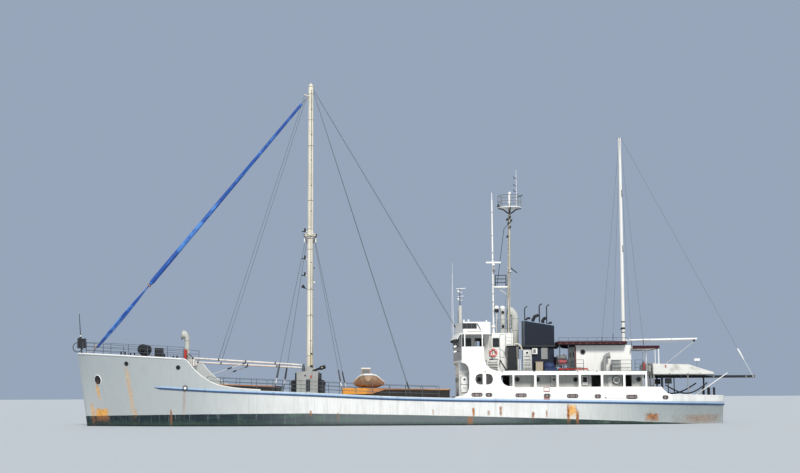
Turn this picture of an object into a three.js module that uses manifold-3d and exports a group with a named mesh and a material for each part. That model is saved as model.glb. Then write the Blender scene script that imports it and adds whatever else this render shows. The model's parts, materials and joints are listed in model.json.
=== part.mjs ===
// A coastal general cargo vessel at half its real size, in millimetres.
// The bow points to -X, starboard to +Y and up to +Z. The origin is amidships on the waterline.

import * as THREE from 'three'
import { mergeVertices } from 'three/addons/utils/BufferGeometryUtils.js'
import Module from 'manifold-3d'

const wasm = await Module()
wasm.setup()

// Fits shared by all the pieces
const seat = 0.3
const running = 6
const plate = 40

const forecastleBreak = -9740

// The hull's lines. Columns: station x, deck height, half-breadth at the top edge (the
// forecastle's forward, the deck's abaft it), half-breadth on the waterline, draught, fullness
// of the section and lean of the station
const lines = [
  [-14350, 2110, 60, 50, 300, 1.0, -0.158],
  [-13950, 2060, 560, 210, 560, 1.05, -0.15],
  [-13300, 2000, 1060, 480, 680, 1.1, -0.13],
  [-12400, 1930, 1520, 880, 710, 1.3, -0.09],
  [-11250, 1840, 1900, 1350, 735, 1.7, -0.04],
  [-10400, 1785, 2090, 1650, 760, 2.2, 0],
  [forecastleBreak - 1, 1740, 2164, 1822, 774, 2.5, 0],
  [forecastleBreak, 1740, 1992, 1822, 774, 2.5, 0],
  [-8250, 1650, 2215, 2120, 810, 3.4, 0],
  [-6200, 1555, 2335, 2290, 865, 5, 0],
  [-3500, 1432, 2350, 2345, 935, 7, 0],
  [-440, 1280, 2350, 2350, 1015, 7, 0],
  [2000, 1205, 2350, 2350, 1080, 7, 0],
  [5500, 1140, 2350, 2350, 1170, 7, 0],
  [8850, 1080, 2350, 2340, 1256, 5, 0],
  [10900, 1039, 2350, 2220, 1307, 2.6, 0],
  [11700, 1022, 2305, 2040, 1330, 1.6, 0],
  [12500, 1006, 2185, 1760, 1350, 1.0, 0],
  [13080, 994, 2010, 1500, 1366, 0.62, 0],
  [13082, 994, 2009, 1499, 420, 2, 0],
  [13800, 980, 1700, 1170, 330, 2, 0],
  [14300, 969, 1300, 760, 240, 2, 0],
  [14600, 963, 850, 430, 160, 2, 0],
  [14730, 960, 400, 170, 90, 2, 0],
]
const flare = 1.3
const forecastleTop = 2982
const forecastleRise = 0.074
const strakeBelowDeck = 95
const strakeHalf = 78
const strakeProud = 45
const strakeStart = -11000

// The superstructure's levels and lengths
const boatDeckTop = 2350
const boatDeckThick = 50
const boatDeckX = [3050, 10880]
const bridgeDeckTop = 2850
const bridgeDeckThick = 100
const bridgeRoof = 4000
const tubTop = 4550
const deckhouse = { x0: 2600, x1: 10850, half: 1800 }
const chartHouse = { x0: 4150, x1: 5110, half: 1000, top: 4105 }
const aftHouse = { x0: 7910, x1: 10430, half: 1200, top: 3525 }

// The masts and derricks
const foremast = { x: -4190, head: 15950, low: 155, high: 115 }
const crosstreeZ = 8770
const gooseneckX = -4450
const gooseneckY = 400
const mastHouse = { x0: -4750, x1: -3780, half: 620, top: 2430 }
const mizzen = { x: 10300, head: 13310, low: 83, high: 70 }
const signalMast = { x0: 5000, x1: 5150, z1: 10760, low: 78, high: 60 }
const radarPole = { x: 4310, head: 10380, r: 32 }

const v = (x, y, z) => new THREE.Vector3(x, y, z)
const sides = [[-1, 'port'], [1, 'starboard']]

// A solid made of a closed geometry, turned so that its faces point out
function solid(geometry) {
  const bare = new THREE.BufferGeometry()
  bare.setAttribute('position', geometry.getAttribute('position'))
  if (geometry.index) bare.setIndex(geometry.index)
  const merged = mergeVertices(bare, 1e-3)
  const place = merged.getAttribute('position').array
  const found = merged.index.array
  const faces = []
  let volume = 0
  for (let i = 0; i < found.length; i += 3) {
    const [a, b, c] = [found[i], found[i + 1], found[i + 2]]
    if (a === b || b === c || c === a) continue
    const [p, q, r] = [a, b, c].map((k) => new THREE.Vector3().fromArray(place, 3 * k))
    volume += p.dot(q.cross(r))
    faces.push(a, b, c)
  }
  if (volume < 0) faces.reverse()
  return new wasm.Manifold(new wasm.Mesh({
    numProp: 3, vertProperties: Float32Array.from(place), triVerts: Uint32Array.from(faces),
  }))
}

const joined = (first, ...rest) => rest.reduce((whole, piece) => whole.add(piece), first)
const less = (first, ...rest) => rest.reduce((whole, piece) => whole.subtract(piece), first)

function box(x0, x1, y0, y1, z0, z1) {
  const shape = new THREE.BoxGeometry(x1 - x0, y1 - y0, z1 - z0)
  return solid(shape.translate((x0 + x1) / 2, (y0 + y1) / 2, (z0 + z1) / 2))
}

// A straight round bar from a to b, with a radius at each end
function bar(a, b, ra, rb = ra, facets = 8) {
  const along = b.clone().sub(a)
  const shape = new THREE.CylinderGeometry(rb, ra, along.length(), facets)
  const turn = new THREE.Quaternion().setFromUnitVectors(v(0, 1, 0), along.clone().normalize())
  shape.applyQuaternion(turn)
  const middle = a.clone().add(b).multiplyScalar(0.5)
  return solid(shape.translate(middle.x, middle.y, middle.z))
}

// A closed skin over rings that all have the same number of points
function loft(rings) {
  const count = rings[0].length
  const index = []
  for (let r = 0; r + 1 < rings.length; r++) {
    for (let i = 0; i < count; i++) {
      const j = (i + 1) % count
      const [a, b] = [r * count + i, r * count + j]
      index.push(a, b, b + count, a, b + count, a + count)
    }
  }
  const last = (rings.length - 1) * count
  for (const [a, b, c] of capFaces(rings[0])) index.push(c, b, a)
  for (const [a, b, c] of capFaces(rings[rings.length - 1])) index.push(last + a, last + b, last + c)
  const shape = new THREE.BufferGeometry()
  const places = rings.flat().flatMap((p) => [p.x, p.y, p.z])
  shape.setAttribute('position', new THREE.Float32BufferAttribute(places, 3))
  shape.setIndex(index)
  return solid(shape)
}

// The triangles that close a flat ring, wound the way that its points run
function capFaces(ring) {
  const facing = v(0, 0, 0)
  ring.forEach((p, i) => facing.add(p.clone().cross(ring[(i + 1) % ring.length])))
  const [x, y, z] = [Math.abs(facing.x), Math.abs(facing.y), Math.abs(facing.z)]
  const flat = ring.map((p) => {
    if (x >= y && x >= z) return new THREE.Vector2(p.y, p.z)
    return y >= z ? new THREE.Vector2(p.z, p.x) : new THREE.Vector2(p.x, p.y)
  })
  const faces = THREE.ShapeUtils.triangulateShape(flat, [])
  const follows = ([a, b, c]) => [[a, b], [b, c], [c, a]].some(([p, q]) => q === (p + 1) % ring.length)
  return faces.some(follows) ? faces : faces.map(([a, b, c]) => [c, b, a])
}

// A round pipe through points that lie in one plane of constant y
function pipe(points, radii, facets = 10) {
  return loft(points.map((p, i) => {
    const before = points[Math.max(i - 1, 0)]
    const after = points[Math.min(i + 1, points.length - 1)]
    const along = after.clone().sub(before).normalize()
    const across = v(0, 1, 0)
    const up = along.clone().cross(across)
    return Array.from({ length: facets }, (_, k) => {
      const turn = (2 * Math.PI * k) / facets
      return p.clone()
        .addScaledVector(across, radii[i] * Math.cos(turn))
        .addScaledVector(up, radii[i] * Math.sin(turn))
    })
  }))
}

// Plates cut to an outline: one standing in X and Z, one lying in X and Y
function standing(shape, y0, y1, curveSegments = 5) {
  const depth = Math.abs(y1 - y0)
  const body = new THREE.ExtrudeGeometry(shape, { depth, bevelEnabled: false, curveSegments })
  return solid(body.rotateX(Math.PI / 2).translate(0, Math.max(y0, y1), 0))
}

function lying(shape, z0, z1, curveSegments = 5) {
  const body = new THREE.ExtrudeGeometry(shape, { depth: z1 - z0, bevelEnabled: false, curveSegments })
  return solid(body.translate(0, 0, z0))
}

// A rectangle with round corners, given from its lower left corner round to its upper left
function rounded(x0, x1, y0, y1, radii, Path = THREE.Shape) {
  const [a, b, c, d] = radii.length ? radii : [radii, radii, radii, radii]
  const path = new Path()
  path.moveTo(x0 + a, y0)
  path.lineTo(x1 - b, y0)
  if (b) path.absarc(x1 - b, y0 + b, b, -Math.PI / 2, 0)
  path.lineTo(x1, y1 - c)
  if (c) path.absarc(x1 - c, y1 - c, c, 0, Math.PI / 2)
  path.lineTo(x0 + d, y1)
  if (d) path.absarc(x0 + d, y1 - d, d, Math.PI / 2, Math.PI)
  path.lineTo(x0, y0 + a)
  if (a) path.absarc(x0 + a, y0 + a, a, Math.PI, 1.5 * Math.PI)
  return path
}

const vessel = new THREE.Group()

function mesh(name, shape, colour, roughness = 0.6, metalness = 0) {
  const { vertProperties, triVerts } = shape.getMesh()
  const body = new THREE.BufferGeometry()
  body.setAttribute('position', new THREE.BufferAttribute(Float32Array.from(vertProperties), 3))
  body.setIndex(new THREE.BufferAttribute(Uint32Array.from(triVerts), 1))
  body.computeVertexNormals()
  const finish = new THREE.MeshStandardMaterial({ color: colour, roughness, metalness })
  const piece = new THREE.Mesh(body, finish)
  piece.name = name
  return piece
}

function add(name, shape, colour, roughness, metalness) {
  const piece = mesh(name, shape, colour, roughness, metalness)
  vessel.add(piece)
  return piece
}

// A moving piece, whose own origin lies on its pivot
function addAt(name, pivot, shape, colour, roughness, metalness) {
  const piece = add(name, shape, colour, roughness, metalness)
  piece.position.copy(pivot)
  return piece
}

const white = 0xe6e6e2
const deckGreen = 0x4c5a50
const cream = 0xd8cfb4
const black = 0x1d2124
const navy = 0x1e2a3a
const grey = 0x9a9a98
const maroon = 0x5b2026
const orange = 0xa8683c
const steel = 0x7b7e80
const bronze = 0xa98a4a
const blue = 0x1f4f9a

// The hull's surface: the line table at any x, and the half-breadth at any height
function lineAt(x) {
  const last = lines.length - 1
  const after = Math.min(Math.max(lines.findIndex((row) => row[0] >= x), 1), last)
  const [a, b] = [lines[x > lines[last][0] ? last : after - 1], lines[after]]
  const t = b === a ? 0 : (x - a[0]) / (b[0] - a[0])
  const [, deck, top, water, draught, fullness, lean] = a.map((value, i) => value + t * (b[i] - value))
  return { x, deck, top, water, draught, fullness, lean }
}

const deckAt = (x) => lineAt(x).deck
const fullHeight = (x) => forecastleTop + forecastleRise * (forecastleBreak - x)
const edgeHeight = (line) => (line.x < forecastleBreak ? fullHeight(line.x) : line.deck)
const breadth = (line, z) => line.water + (line.top - line.water) * (z / edgeHeight(line)) ** flare
const edgeAt = (x) => breadth(lineAt(x), deckAt(x))
const stationsFrom = (x0, x1) => [x0, ...lines.map((row) => row[0]).filter((x) => x > x0 && x < x1), x1]

// Everything under the main deck, for seating what stands on it
const deckMass = loft(stationsFrom(-10500, 14760).map((x) => {
  const z = deckAt(x) + seat
  return [v(x, -2600, -2000), v(x, -2600, z), v(x, 2600, z), v(x, 2600, -2000)]
}))

// The forecastle's deck at a place along the ship, where the leaning stations bring it
const foreDeckAt = (x) => {
  const line = lineAt(x - lineAt(x).lean * forecastleTop)
  return fullHeight(line.x)
}

function topsides(line, low, high, steps) {
  return Array.from({ length: steps + 1 }, (_, i) => {
    const z = high + ((low - high) * i) / steps
    return v(line.x + line.lean * z, -breadth(line, z), z)
  })
}

function underwater(line, steps = 6) {
  return Array.from({ length: steps }, (_, i) => {
    const turn = ((i + 1) / steps) * (Math.PI / 2)
    const bulge = 2 / line.fullness
    const z = -line.draught * Math.sin(turn) ** bulge
    const y = i + 1 === steps ? 0 : -line.water * Math.cos(turn) ** bulge
    return v(line.x + line.lean * z, y, z)
  })
}

const acrossShip = (half) => [...half, ...half.filter((p) => p.y < 0).reverse().map((p) => v(p.x, -p.y, p.z))]

// Hull with its rubbing strakes and the bitts on the after deck
const hullBody = loft(lines.map((row) => {
  const line = lineAt(row[0])
  return acrossShip([...topsides(line, 0, line.deck, 4), ...underwater(line)])
}))

function strake(side) {
  return loft(stationsFrom(strakeStart, 14730).map((x, i) => {
    const line = lineAt(x)
    const z = line.deck - strakeBelowDeck
    const y = breadth(line, z)
    const grow = i === 0 ? 0.15 : 1
    const [proud, half] = [strakeProud * grow, strakeHalf * grow]
    return [
      v(x, side * (y - 30), z - half), v(x, side * (y + proud), z - half * 0.7),
      v(x, side * (y + proud), z + half * 0.7), v(x, side * (y - 30), z + half),
    ]
  }))
}

const bittX = [12500, 13700]
function bitts(x, y, deck) {
  const post = (dx) => bar(v(x + dx, y, deck - 60), v(x + dx, y, deck + 190), 38, 44)
  return joined(box(x - 150, x + 150, y - 60, y + 60, deck - 60, deck + 25), post(-90), post(90))
}

const afterBitts = bittX.flatMap((x) => sides.map(([side]) => bitts(x, side * (edgeAt(x) - 320), deckAt(x))))
const sternBand = box(14715, 14765, -300, 300, 870, 950)
add('hull', joined(hullBody, strake(-1), strake(1), sternBand, ...afterBitts), white, 0.55)

// Forecastle with its bitts
const forecastleStations = lines.map((row) => row[0]).filter((x) => x < forecastleBreak)
const forecastleBody = loft(forecastleStations.map((x) => {
  const line = lineAt(x)
  const half = topsides(line, line.deck + seat, fullHeight(x), 4)
  return [...half, ...half.toReversed().map((p) => v(p.x, -p.y, p.z))]
}))
const foreBitts = [-12600, -10700].flatMap((x) => sides.map(([side]) => {
  const line = lineAt(x)
  return bitts(x, side * (breadth(line, fullHeight(x)) - 420), foreDeckAt(x))
}))
add('forecastle', joined(forecastleBody, ...foreBitts), white, 0.55)

// The derrick booms, and the shelf on the forecastle's bulkhead that their heads rest on.
// Columns: heel height, head height, head x
const boomTable = { port: [2720, 3069, -9640], starboard: [2610, 2900, -9540] }
const boomRadius = 43
const boomTaper = 0.9
const shelfX = [forecastleBreak - 1 + seat, -9440]
const shelfHalf = gooseneckY + 90
const restTop = ([heelZ, headZ, headX]) => {
  const t = (shelfX[1] - gooseneckX) / (headX - gooseneckX)
  return heelZ + t * (headZ - heelZ) - boomRadius * boomTaper - 1
}
const shelfLow = restTop(boomTable.starboard) - 160
add('boom_rest', joined(
  box(...shelfX, -shelfHalf, shelfHalf, shelfLow, shelfLow + 100),
  box(...shelfX, gooseneckY - 90, shelfHalf, shelfLow, restTop(boomTable.starboard)),
  box(...shelfX, -shelfHalf, 90 - gooseneckY, shelfLow, restTop(boomTable.port)),
), white)

// Fashion plates that sweep down from the forecastle to the well. Columns: x, height
const fashionCurve = [
  [-9740, 2982], [-9590, 2970], [-9455, 2840], [-9229, 2574], [-8958, 2307], [-8645, 2085],
  [-8250, 1870], [-7754, 1745], [-7088, 1652], [-6200, 1590],
]
function sideWall(curve, side, thick) {
  return loft(curve.map(([x, top]) => {
    const line = lineAt(x)
    const low = line.deck + seat
    const [outer, upper] = [breadth(line, low), breadth(line, top)]
    return [
      v(x, side * outer, low), v(x, side * upper, top),
      v(x, side * (upper - thick), top), v(x, side * (outer - thick), low),
    ]
  }))
}
for (const [side, name] of sides) {
  add(`fashion_plate_${name}`, sideWall(fashionCurve, side, plate), white)
}

// Open rails. A path gives the foot of each post, and the bars run from post to post
const railHeight = 520
const railBars = [170, 340, 510]
function railing(feet) {
  const posts = feet.map((foot) => bar(foot, foot.clone().add(v(0, 0, railHeight)), 15, 15, 4))
  const bars = railBars.map((z) => loft(feet.map((foot) => [
    v(foot.x, foot.y - 10, foot.z + z), v(foot.x, foot.y, foot.z + z + 10),
    v(foot.x, foot.y + 10, foot.z + z), v(foot.x, foot.y, foot.z + z - 10),
  ])))
  return less(joined(...bars, ...posts), deckMass)
}
const foreRailX = [-14100, -13500, -12750, -12000, -11200, -10400, -9650]
const wellRailX = Array.from({ length: 15 }, (_, i) => -8600 + i * 735)
for (const [side, name] of sides) {
  const foreFeet = foreRailX.map((x) => {
    const line = lineAt(x)
    const z = fullHeight(x)
    return v(x + line.lean * z, side * (breadth(line, z) - 50), z + seat + 1.4)
  })
  add(`forecastle_rail_${name}`, railing(foreFeet), steel, 0.5, 0.3)
  const wellFeet = wellRailX.map((x) => v(x, side * (edgeAt(x) - 80), deckAt(x) - 5))
  add(`well_rail_${name}`, railing(wellFeet), steel, 0.5, 0.3)
}

// Windlass: its bed, side frames, gypsy wheels and motor
const foreSeat = forecastleBody.translate([0, 0, seat])
const windlass = { x: -11830, z: 3470, wheel: 240, shaft: 60, bed: [-12150, -10950], half: 560 }
const bedThick = 60
const windlassBed = loft(windlass.bed.map((x) => {
  const z = foreDeckAt(x)
  return [
    v(x, -windlass.half, z - bedThick), v(x, -windlass.half, z + bedThick),
    v(x, windlass.half, z + bedThick), v(x, windlass.half, z - bedThick),
  ]
}))
const windlassDeck = foreDeckAt(windlass.x)
const wheelFrom = [-430, 290]
const wheelWide = 140
const frameFrom = [-230, 190]
const windlassAt = (y) => v(windlass.x, y, windlass.z)
add('windlass', less(joined(
  windlassBed,
  bar(windlassAt(-620), windlassAt(620), windlass.shaft),
  ...wheelFrom.map((y) => bar(windlassAt(y), windlassAt(y + wheelWide), windlass.wheel, windlass.wheel, 16)),
  ...frameFrom.map((y) => box(-11960, -11700, y, y + plate, windlassDeck, windlass.z + 80)),
  box(-11330, -10980, -200, 200, windlassDeck - 60, windlassDeck + 420),
), foreSeat), black, 0.6, 0.4)

// Jackstaff with its lamp box and the round guard of the bow roller
const jackFoot = v(-14740, 0, 3250)
const jackHead = v(-14890, 0, 5140)
const rollerGuard = new THREE.TorusGeometry(215, 18, 6, 20).rotateX(Math.PI / 2).translate(-14930, 0, 3600)
add('jackstaff', less(joined(
  bar(jackFoot, jackHead, 26, 14),
  box(-14920, -14560, -110, 110, 3560, 4000),
  solid(rollerGuard),
), foreSeat), black, 0.6, 0.2)

// Starboard bower anchor, housed in its hawse pipe
const hawse = { x: -13696, z: 2083 }
const anchorY = 770
const crownZ = hawse.z - 190
const fluke = (end) => bar(
  v(hawse.x + end * 140, anchorY + 10, crownZ), v(hawse.x + end * 180, anchorY + 50, hawse.z + 60), 50, 16)
const anchorBody = joined(
  bar(v(hawse.x, anchorY - 60, hawse.z + 130), v(hawse.x, anchorY + 10, crownZ), 40, 50),
  bar(v(hawse.x - 150, anchorY + 10, crownZ), v(hawse.x + 150, anchorY + 10, crownZ), 55),
  fluke(-1), fluke(1),
)
const anchorHung = less(anchorBody, hullBody, forecastleBody).translate([0, 1.4 * seat, 0])
add('anchor_starboard', anchorHung, black, 0.7, 0.4)

// Hatches: coamings on the deck, and the covers on them. Columns: name, x0, x1, half width,
// top at x0, top at x1
const hatchTable = [
  ['hatch_1', -8850, -5600, 1300, 1900, 1775],
  ['hatch_2', -2600, 2200, 1300, 1665, 1600],
]
const coverThick = 70
const coverLap = 35
const coverTop = ([, x0, x1, , top0, top1], x) => top0 + ((x - x0) / (x1 - x0)) * (top1 - top0)
function hatchBlock(row, grow, low, high) {
  const [, x0, x1, half] = row
  return loft([x0 - grow, x1 + grow].map((x) => {
    const top = coverTop(row, x)
    const y = half + grow
    return [v(x, -y, top + low), v(x, -y, top + high), v(x, y, top + high), v(x, y, top + low)]
  }))
}
for (const row of hatchTable) {
  const coaming = less(hatchBlock(row, 0, -700, -coverThick + 5), deckMass)
  add(row[0], joined(coaming, hatchBlock(row, coverLap, -coverThick, 0)), orange, 0.8)
}

// Mast house with its cone and the two cargo winches on its sides
const mastDeck = deckAt(foremast.x)
const mh = mastHouse
const houseBody = box(mh.x0, mh.x1, -mh.half, mh.half, mastDeck - 100, mh.top)
const winch = { z: 1880, drum: 95, cheek: 165, half: 400, out: 130 }
const winches = [mh.x0 - winch.out, mh.x1 + winch.out].map((x) => {
  const drumAt = (y) => v(x, y, winch.z)
  return joined(
    bar(drumAt(-winch.half), drumAt(winch.half), winch.drum, winch.drum, 12),
    ...[-winch.half, winch.half - 30].map((y) => {
      return bar(drumAt(y), drumAt(y + 30), winch.cheek, winch.cheek, 12)
    }),
    box(x - 150, x + 150, -420, 420, mastDeck - 100, winch.z - 140),
    ...[-380, 350].map((y) => box(x - 40, x + 40, y, y + 30, winch.z - 180, winch.z)),
    box(Math.min(x, mh.x1 - 10), Math.max(x, mh.x0 + 10), -60, 60, 1560, 1700),
  )
})
const mastAt = (z) => v(foremast.x, 0, z)
const mastHole = bar(mastAt(1000), mastAt(3000), foremast.low + seat, foremast.low + seat, 16)
const cone = bar(mastAt(mh.top - 5), mastAt(mh.top + 245), 320, 180, 16)
add('mast_house', less(joined(houseBody, cone, ...winches), deckMass, mastHole), cream)

// Foremast with its crosstree, head yoke and lamp brackets
const yokeZ = 15380
const mastSpine = (grow) => {
  const [low, high] = [foremast.low + grow, foremast.high + grow]
  return bar(mastAt(mastDeck - 20), mastAt(foremast.head), low, high, 16)
}
const yoke = sides.map(([side]) => bar(mastAt(yokeZ), v(gooseneckX, side * gooseneckY, yokeZ), 34, 30))
const bracketZ = [6870, 7650, 8930]
add('foremast', less(joined(
  mastSpine(0), ...yoke,
  box(foremast.x - 300, foremast.x + 300, -160, 160, crosstreeZ - 45, crosstreeZ + 45),
  bar(v(foremast.x, -330, crosstreeZ), v(foremast.x, 330, crosstreeZ), 45),
  ...bracketZ.map((z) => bar(mastAt(z), v(foremast.x - 330, 0, z), 26, 22)),
  bar(mastAt(foremast.head - 30), mastAt(foremast.head + 70), 60, 40),
), deckMass), cream, 0.6)

// Derricks: a swivel on the mast house, and a boom that tops up between its cheeks
const pinRadius = 16
const cheekGap = 36
const cheekThick = 22
for (const [side, name] of sides) {
  const [heelZ, headZ, headX] = boomTable[name]
  const base = mastHouse.top + seat
  const pivot = v(gooseneckX, side * gooseneckY, heelZ)
  const low = base - heelZ
  const swivel = joined(
    bar(v(0, 0, low), v(0, 0, -60), 85, 70, 12),
    ...[-cheekGap - cheekThick, cheekGap].map((y) => box(-45, 45, y, y + cheekThick, -70, 45)),
    bar(v(0, -cheekGap - 10, 0), v(0, cheekGap + 10, 0), pinRadius, pinRadius, 16),
  )
  addAt(`derrick_swivel_${name}`, pivot, swivel, steel, 0.5, 0.4)
  const head = v(headX - gooseneckX, 0, headZ - heelZ)
  const toHead = head.clone().normalize()
  const eye = bar(v(0, -cheekGap + running, 0), v(0, cheekGap - running, 0), 40, 40, 16)
  const hole = bar(v(0, -cheekGap, 0), v(0, cheekGap, 0), pinRadius + 0.45, pinRadius + 0.45, 16)
  const neck = toHead.clone().multiplyScalar(25)
  const spar = joined(
    eye,
    bar(neck, toHead.clone().multiplyScalar(200), 24, 28),
    bar(toHead.clone().multiplyScalar(130), toHead.clone().multiplyScalar(400), 30, boomRadius),
    bar(toHead.clone().multiplyScalar(395), head, boomRadius, boomRadius * boomTaper, 12),
  )
  addAt(`boom_${name}`, pivot, less(spar, hole), white, 0.5)
}

// The foremast's stays, with the furled headsail on the forward one.
// Columns: name, foot x, foot y, foot z, head x, head y, head z, radius
const stayRadius = 11
const deckFoot = (x) => [x, edgeAt(x) - 150, deckAt(x) - 10]
const stayTable = [
  ['fore_shroud', ...deckFoot(-5620), -4350, 300, crosstreeZ - 60],
  ['aft_shroud', ...deckFoot(-2566), -4024, 300, crosstreeZ - 60],
  ['deck_backstay', ...deckFoot(490), -4060, 95, 15600],
]
for (const [name, fx, fy, fz, hx, hy, hz] of stayTable) {
  for (const [side, word] of sides) {
    const stay = bar(v(fx, side * fy, fz), v(hx, side * hy, hz), stayRadius, stayRadius, 6)
    add(`${name}_${word}`, less(stay, deckMass), steel, 0.5, 0.5)
  }
}
const stayFoot = v(-14330, 0, 3220)
const stayHead = mastAt(15560)
const along = (t) => stayFoot.clone().lerp(stayHead, t)
add('forestay_sail', less(joined(
  bar(stayFoot, stayHead, 14, 14, 6),
  bar(along(0.03), along(0.12), 60, 95, 10),
  bar(along(0.119), along(0.5), 95, 88, 10),
  bar(along(0.499), along(0.96), 88, 60, 10),
), foreSeat, mastSpine(seat)), blue, 0.9)

// Side plating with its bays, freeing ports and the bulwark aft. Columns of bays: x0, x1
const bayLow = 1645
const bayHigh = 2188
const bayPitch = 982.5
const bayWidth = 895
const bayFirst = 5015
const freeingPorts = [
  [3365, 470], [3890, 275], [5310, 480], [6460, 275], [7585, 480], [8700, 260], [10200, 480], [11690, 245],
]
const freeingHeight = 150
const platingTop = 3450
function platingOutline() {
  const outline = new THREE.Shape()
  const foot = (x) => deckAt(x) + seat
  outline.moveTo(2400, foot(2400))
  outline.lineTo(2400, 1240)
  outline.bezierCurveTo(2750, 1250, 3020, 1380, 3020, 1620)
  outline.lineTo(3040, 2300)
  outline.bezierCurveTo(3040, 2600, 2900, 2740, 2710, 2750)
  outline.lineTo(2710, platingTop)
  outline.lineTo(3695, platingTop)
  outline.lineTo(3715, 2860)
  outline.bezierCurveTo(3760, 2560, 4000, 2400, 4300, 2368)
  for (const x of [6000, 8000, 9000, 10000]) outline.lineTo(x, 2368 - (x - 4300) * 0.006)
  outline.lineTo(10900, 2328)
  outline.lineTo(10900, bayLow)
  outline.lineTo(11540, 1635)
  outline.bezierCurveTo(11640, 1480, 11750, 1330, 12025, 1285)
  for (const x of [12025, ...stationsFrom(2400, 12025).slice(1, -1).toReversed()]) outline.lineTo(x, foot(x))
  const bays = [
    rounded(3320, 3625, 1795, 2230, [180, 10, 10, 180], THREE.Path),
    rounded(3770, 4060, 1795, 2230, [10, 180, 180, 10], THREE.Path),
    rounded(4435, 4945, 1690, 2190, [400, 20, 40, 90], THREE.Path),
  ]
  for (let i = 0; i < 6; i++) {
    const x = bayFirst + i * bayPitch
    bays.push(rounded(x, x + bayWidth, bayLow, bayHigh, 45, THREE.Path))
  }
  for (const [x, width] of freeingPorts) {
    const z = deckAt(x) + 150
    const half = freeingHeight / 2
    bays.push(rounded(x - width / 2, x + width / 2, z - half, z + half, 70, THREE.Path))
  }
  outline.holes.push(...bays)
  return outline
}

// A flat piece bent to follow the hull's edge
function bentToHull(shape, side) {
  const { vertProperties, triVerts } = shape.getMesh()
  const body = new THREE.BufferGeometry()
  const places = Float32Array.from(vertProperties)
  const full = 2350
  for (let i = 0; i < places.length; i += 3) places[i + 1] -= side * (full - edgeAt(places[i]))
  body.setAttribute('position', new THREE.BufferAttribute(places, 3))
  body.setIndex(new THREE.BufferAttribute(Uint32Array.from(triVerts), 1))
  return solid(body)
}
for (const [side, name] of sides) {
  const flat = standing(platingOutline(), side * 2350, side * (2350 - plate), 3)
  add(`side_plating_${name}`, bentToHull(flat, side), white)
}

// Bulwark round the stern, from the side plating to the centreline
const bulwarkX = [12026, 12500, 13081, 13500, 13800, 14100, 14300, 14500, 14600, 14680]
for (const [side, name] of sides) {
  const rings = bulwarkX.map((x, i) => {
    const line = lineAt(x)
    const low = line.deck - 5
    const outer = breadth(line, line.deck)
    const top = 1283 - (x - 12025) * 0.024
    const slip = i > 5 ? plate * 0.8 : 0
    return [
      v(x, side * outer, low), v(x, side * outer, top),
      v(x - slip, side * (outer - plate), top), v(x - slip, side * (outer - plate), low),
    ]
  })
  const [end, top] = [14725, 1283 - 2700 * 0.024]
  rings.push([v(end, side * 1, deckAt(end) - 5), v(end, side * 1, top),
    v(end - plate, side * 1, top), v(end - plate, side * 1, deckAt(end) - 5)])
  add(`stern_bulwark_${name}`, less(loft(rings), deckMass), white)
}

// Doors hung outside their walls. Columns: name, hinge x, side, sill, leaf width, leaf height
const leafThick = 20
const doorTable = [
  ['door_port', 3030, -1, 1415, 370, 765],
  ['door_starboard', 3030, 1, 1415, 370, 765],
  ['side_door_port', 7030, -1, 1300, 370, 850],
  ['side_door_starboard', 7030, 1, 1300, 370, 850],
]
const rim = 15
function doorway(wall, [, hinge, side, sill, width, height]) {
  const y = side * wall
  return box(hinge - width + rim, hinge - rim, y - 100, y + 100, sill + rim, sill + height - rim)
}
function hingeLugs(wall, [, hinge, side, sill, , height]) {
  const y = [side * (wall - 5), side * (wall + running + leafThick)]
  const lug = (z0, z1) => box(hinge - 12, hinge + 12, Math.min(...y), Math.max(...y), z0, z1)
  return joined(lug(sill + height + seat, sill + height + 30), lug(sill - 30, sill - seat))
}
function leaf(width, height) {
  return joined(
    box(-width, 0, -leafThick / 2, leafThick / 2, 0, height),
    bar(v(0, 0, 0), v(0, 0, height), leafThick / 2, leafThick / 2, 12),
  )
}

// Deckhouse on the main deck, open at its doorways
const dh = deckhouse
const inner = (h, low, high) => box(h.x0 + plate, h.x1 - plate, -h.half + plate, h.half - plate, low, high)
const deckhouseWalls = less(
  box(dh.x0, dh.x1, -dh.half, dh.half, 900, boatDeckTop - boatDeckThick - seat),
  inner(dh, 800, 3000),
  ...[[4500, 4850], [8520, 8940], [9890, 10310]].flatMap(([x0, x1]) => sides.map(([side]) => {
    return box(x0, x1, side * dh.half - 100, side * dh.half + 100, 1310, 2160)
  })),
)
let house = less(deckhouseWalls, ...doorTable.map((row) => doorway(dh.half, row)))
house = joined(house, ...doorTable.map((row) => hingeLugs(dh.half, row)))
add('deckhouse', less(house, deckMass), grey)
for (const row of doorTable) {
  const [name, hinge, side, sill, width, height] = row
  const pivot = v(hinge, side * (dh.half + running + leafThick / 2), sill)
  addAt(name, pivot, leaf(width, height), white)
}

// Boat deck, between the side platings
function deckPlan(x0, x1, inset) {
  const shape = new THREE.Shape()
  const xs = stationsFrom(x0, x1)
  shape.moveTo(x0, -edgeAt(x0) + inset)
  for (const x of xs.slice(1)) shape.lineTo(x, -edgeAt(x) + inset)
  for (const x of xs.toReversed()) shape.lineTo(x, edgeAt(x) - inset)
  return shape
}
const boatDeck = lying(deckPlan(...boatDeckX, plate + 4), boatDeckTop - boatDeckThick, boatDeckTop)
add('boat_deck', boatDeck, deckGreen, 0.8)

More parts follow.
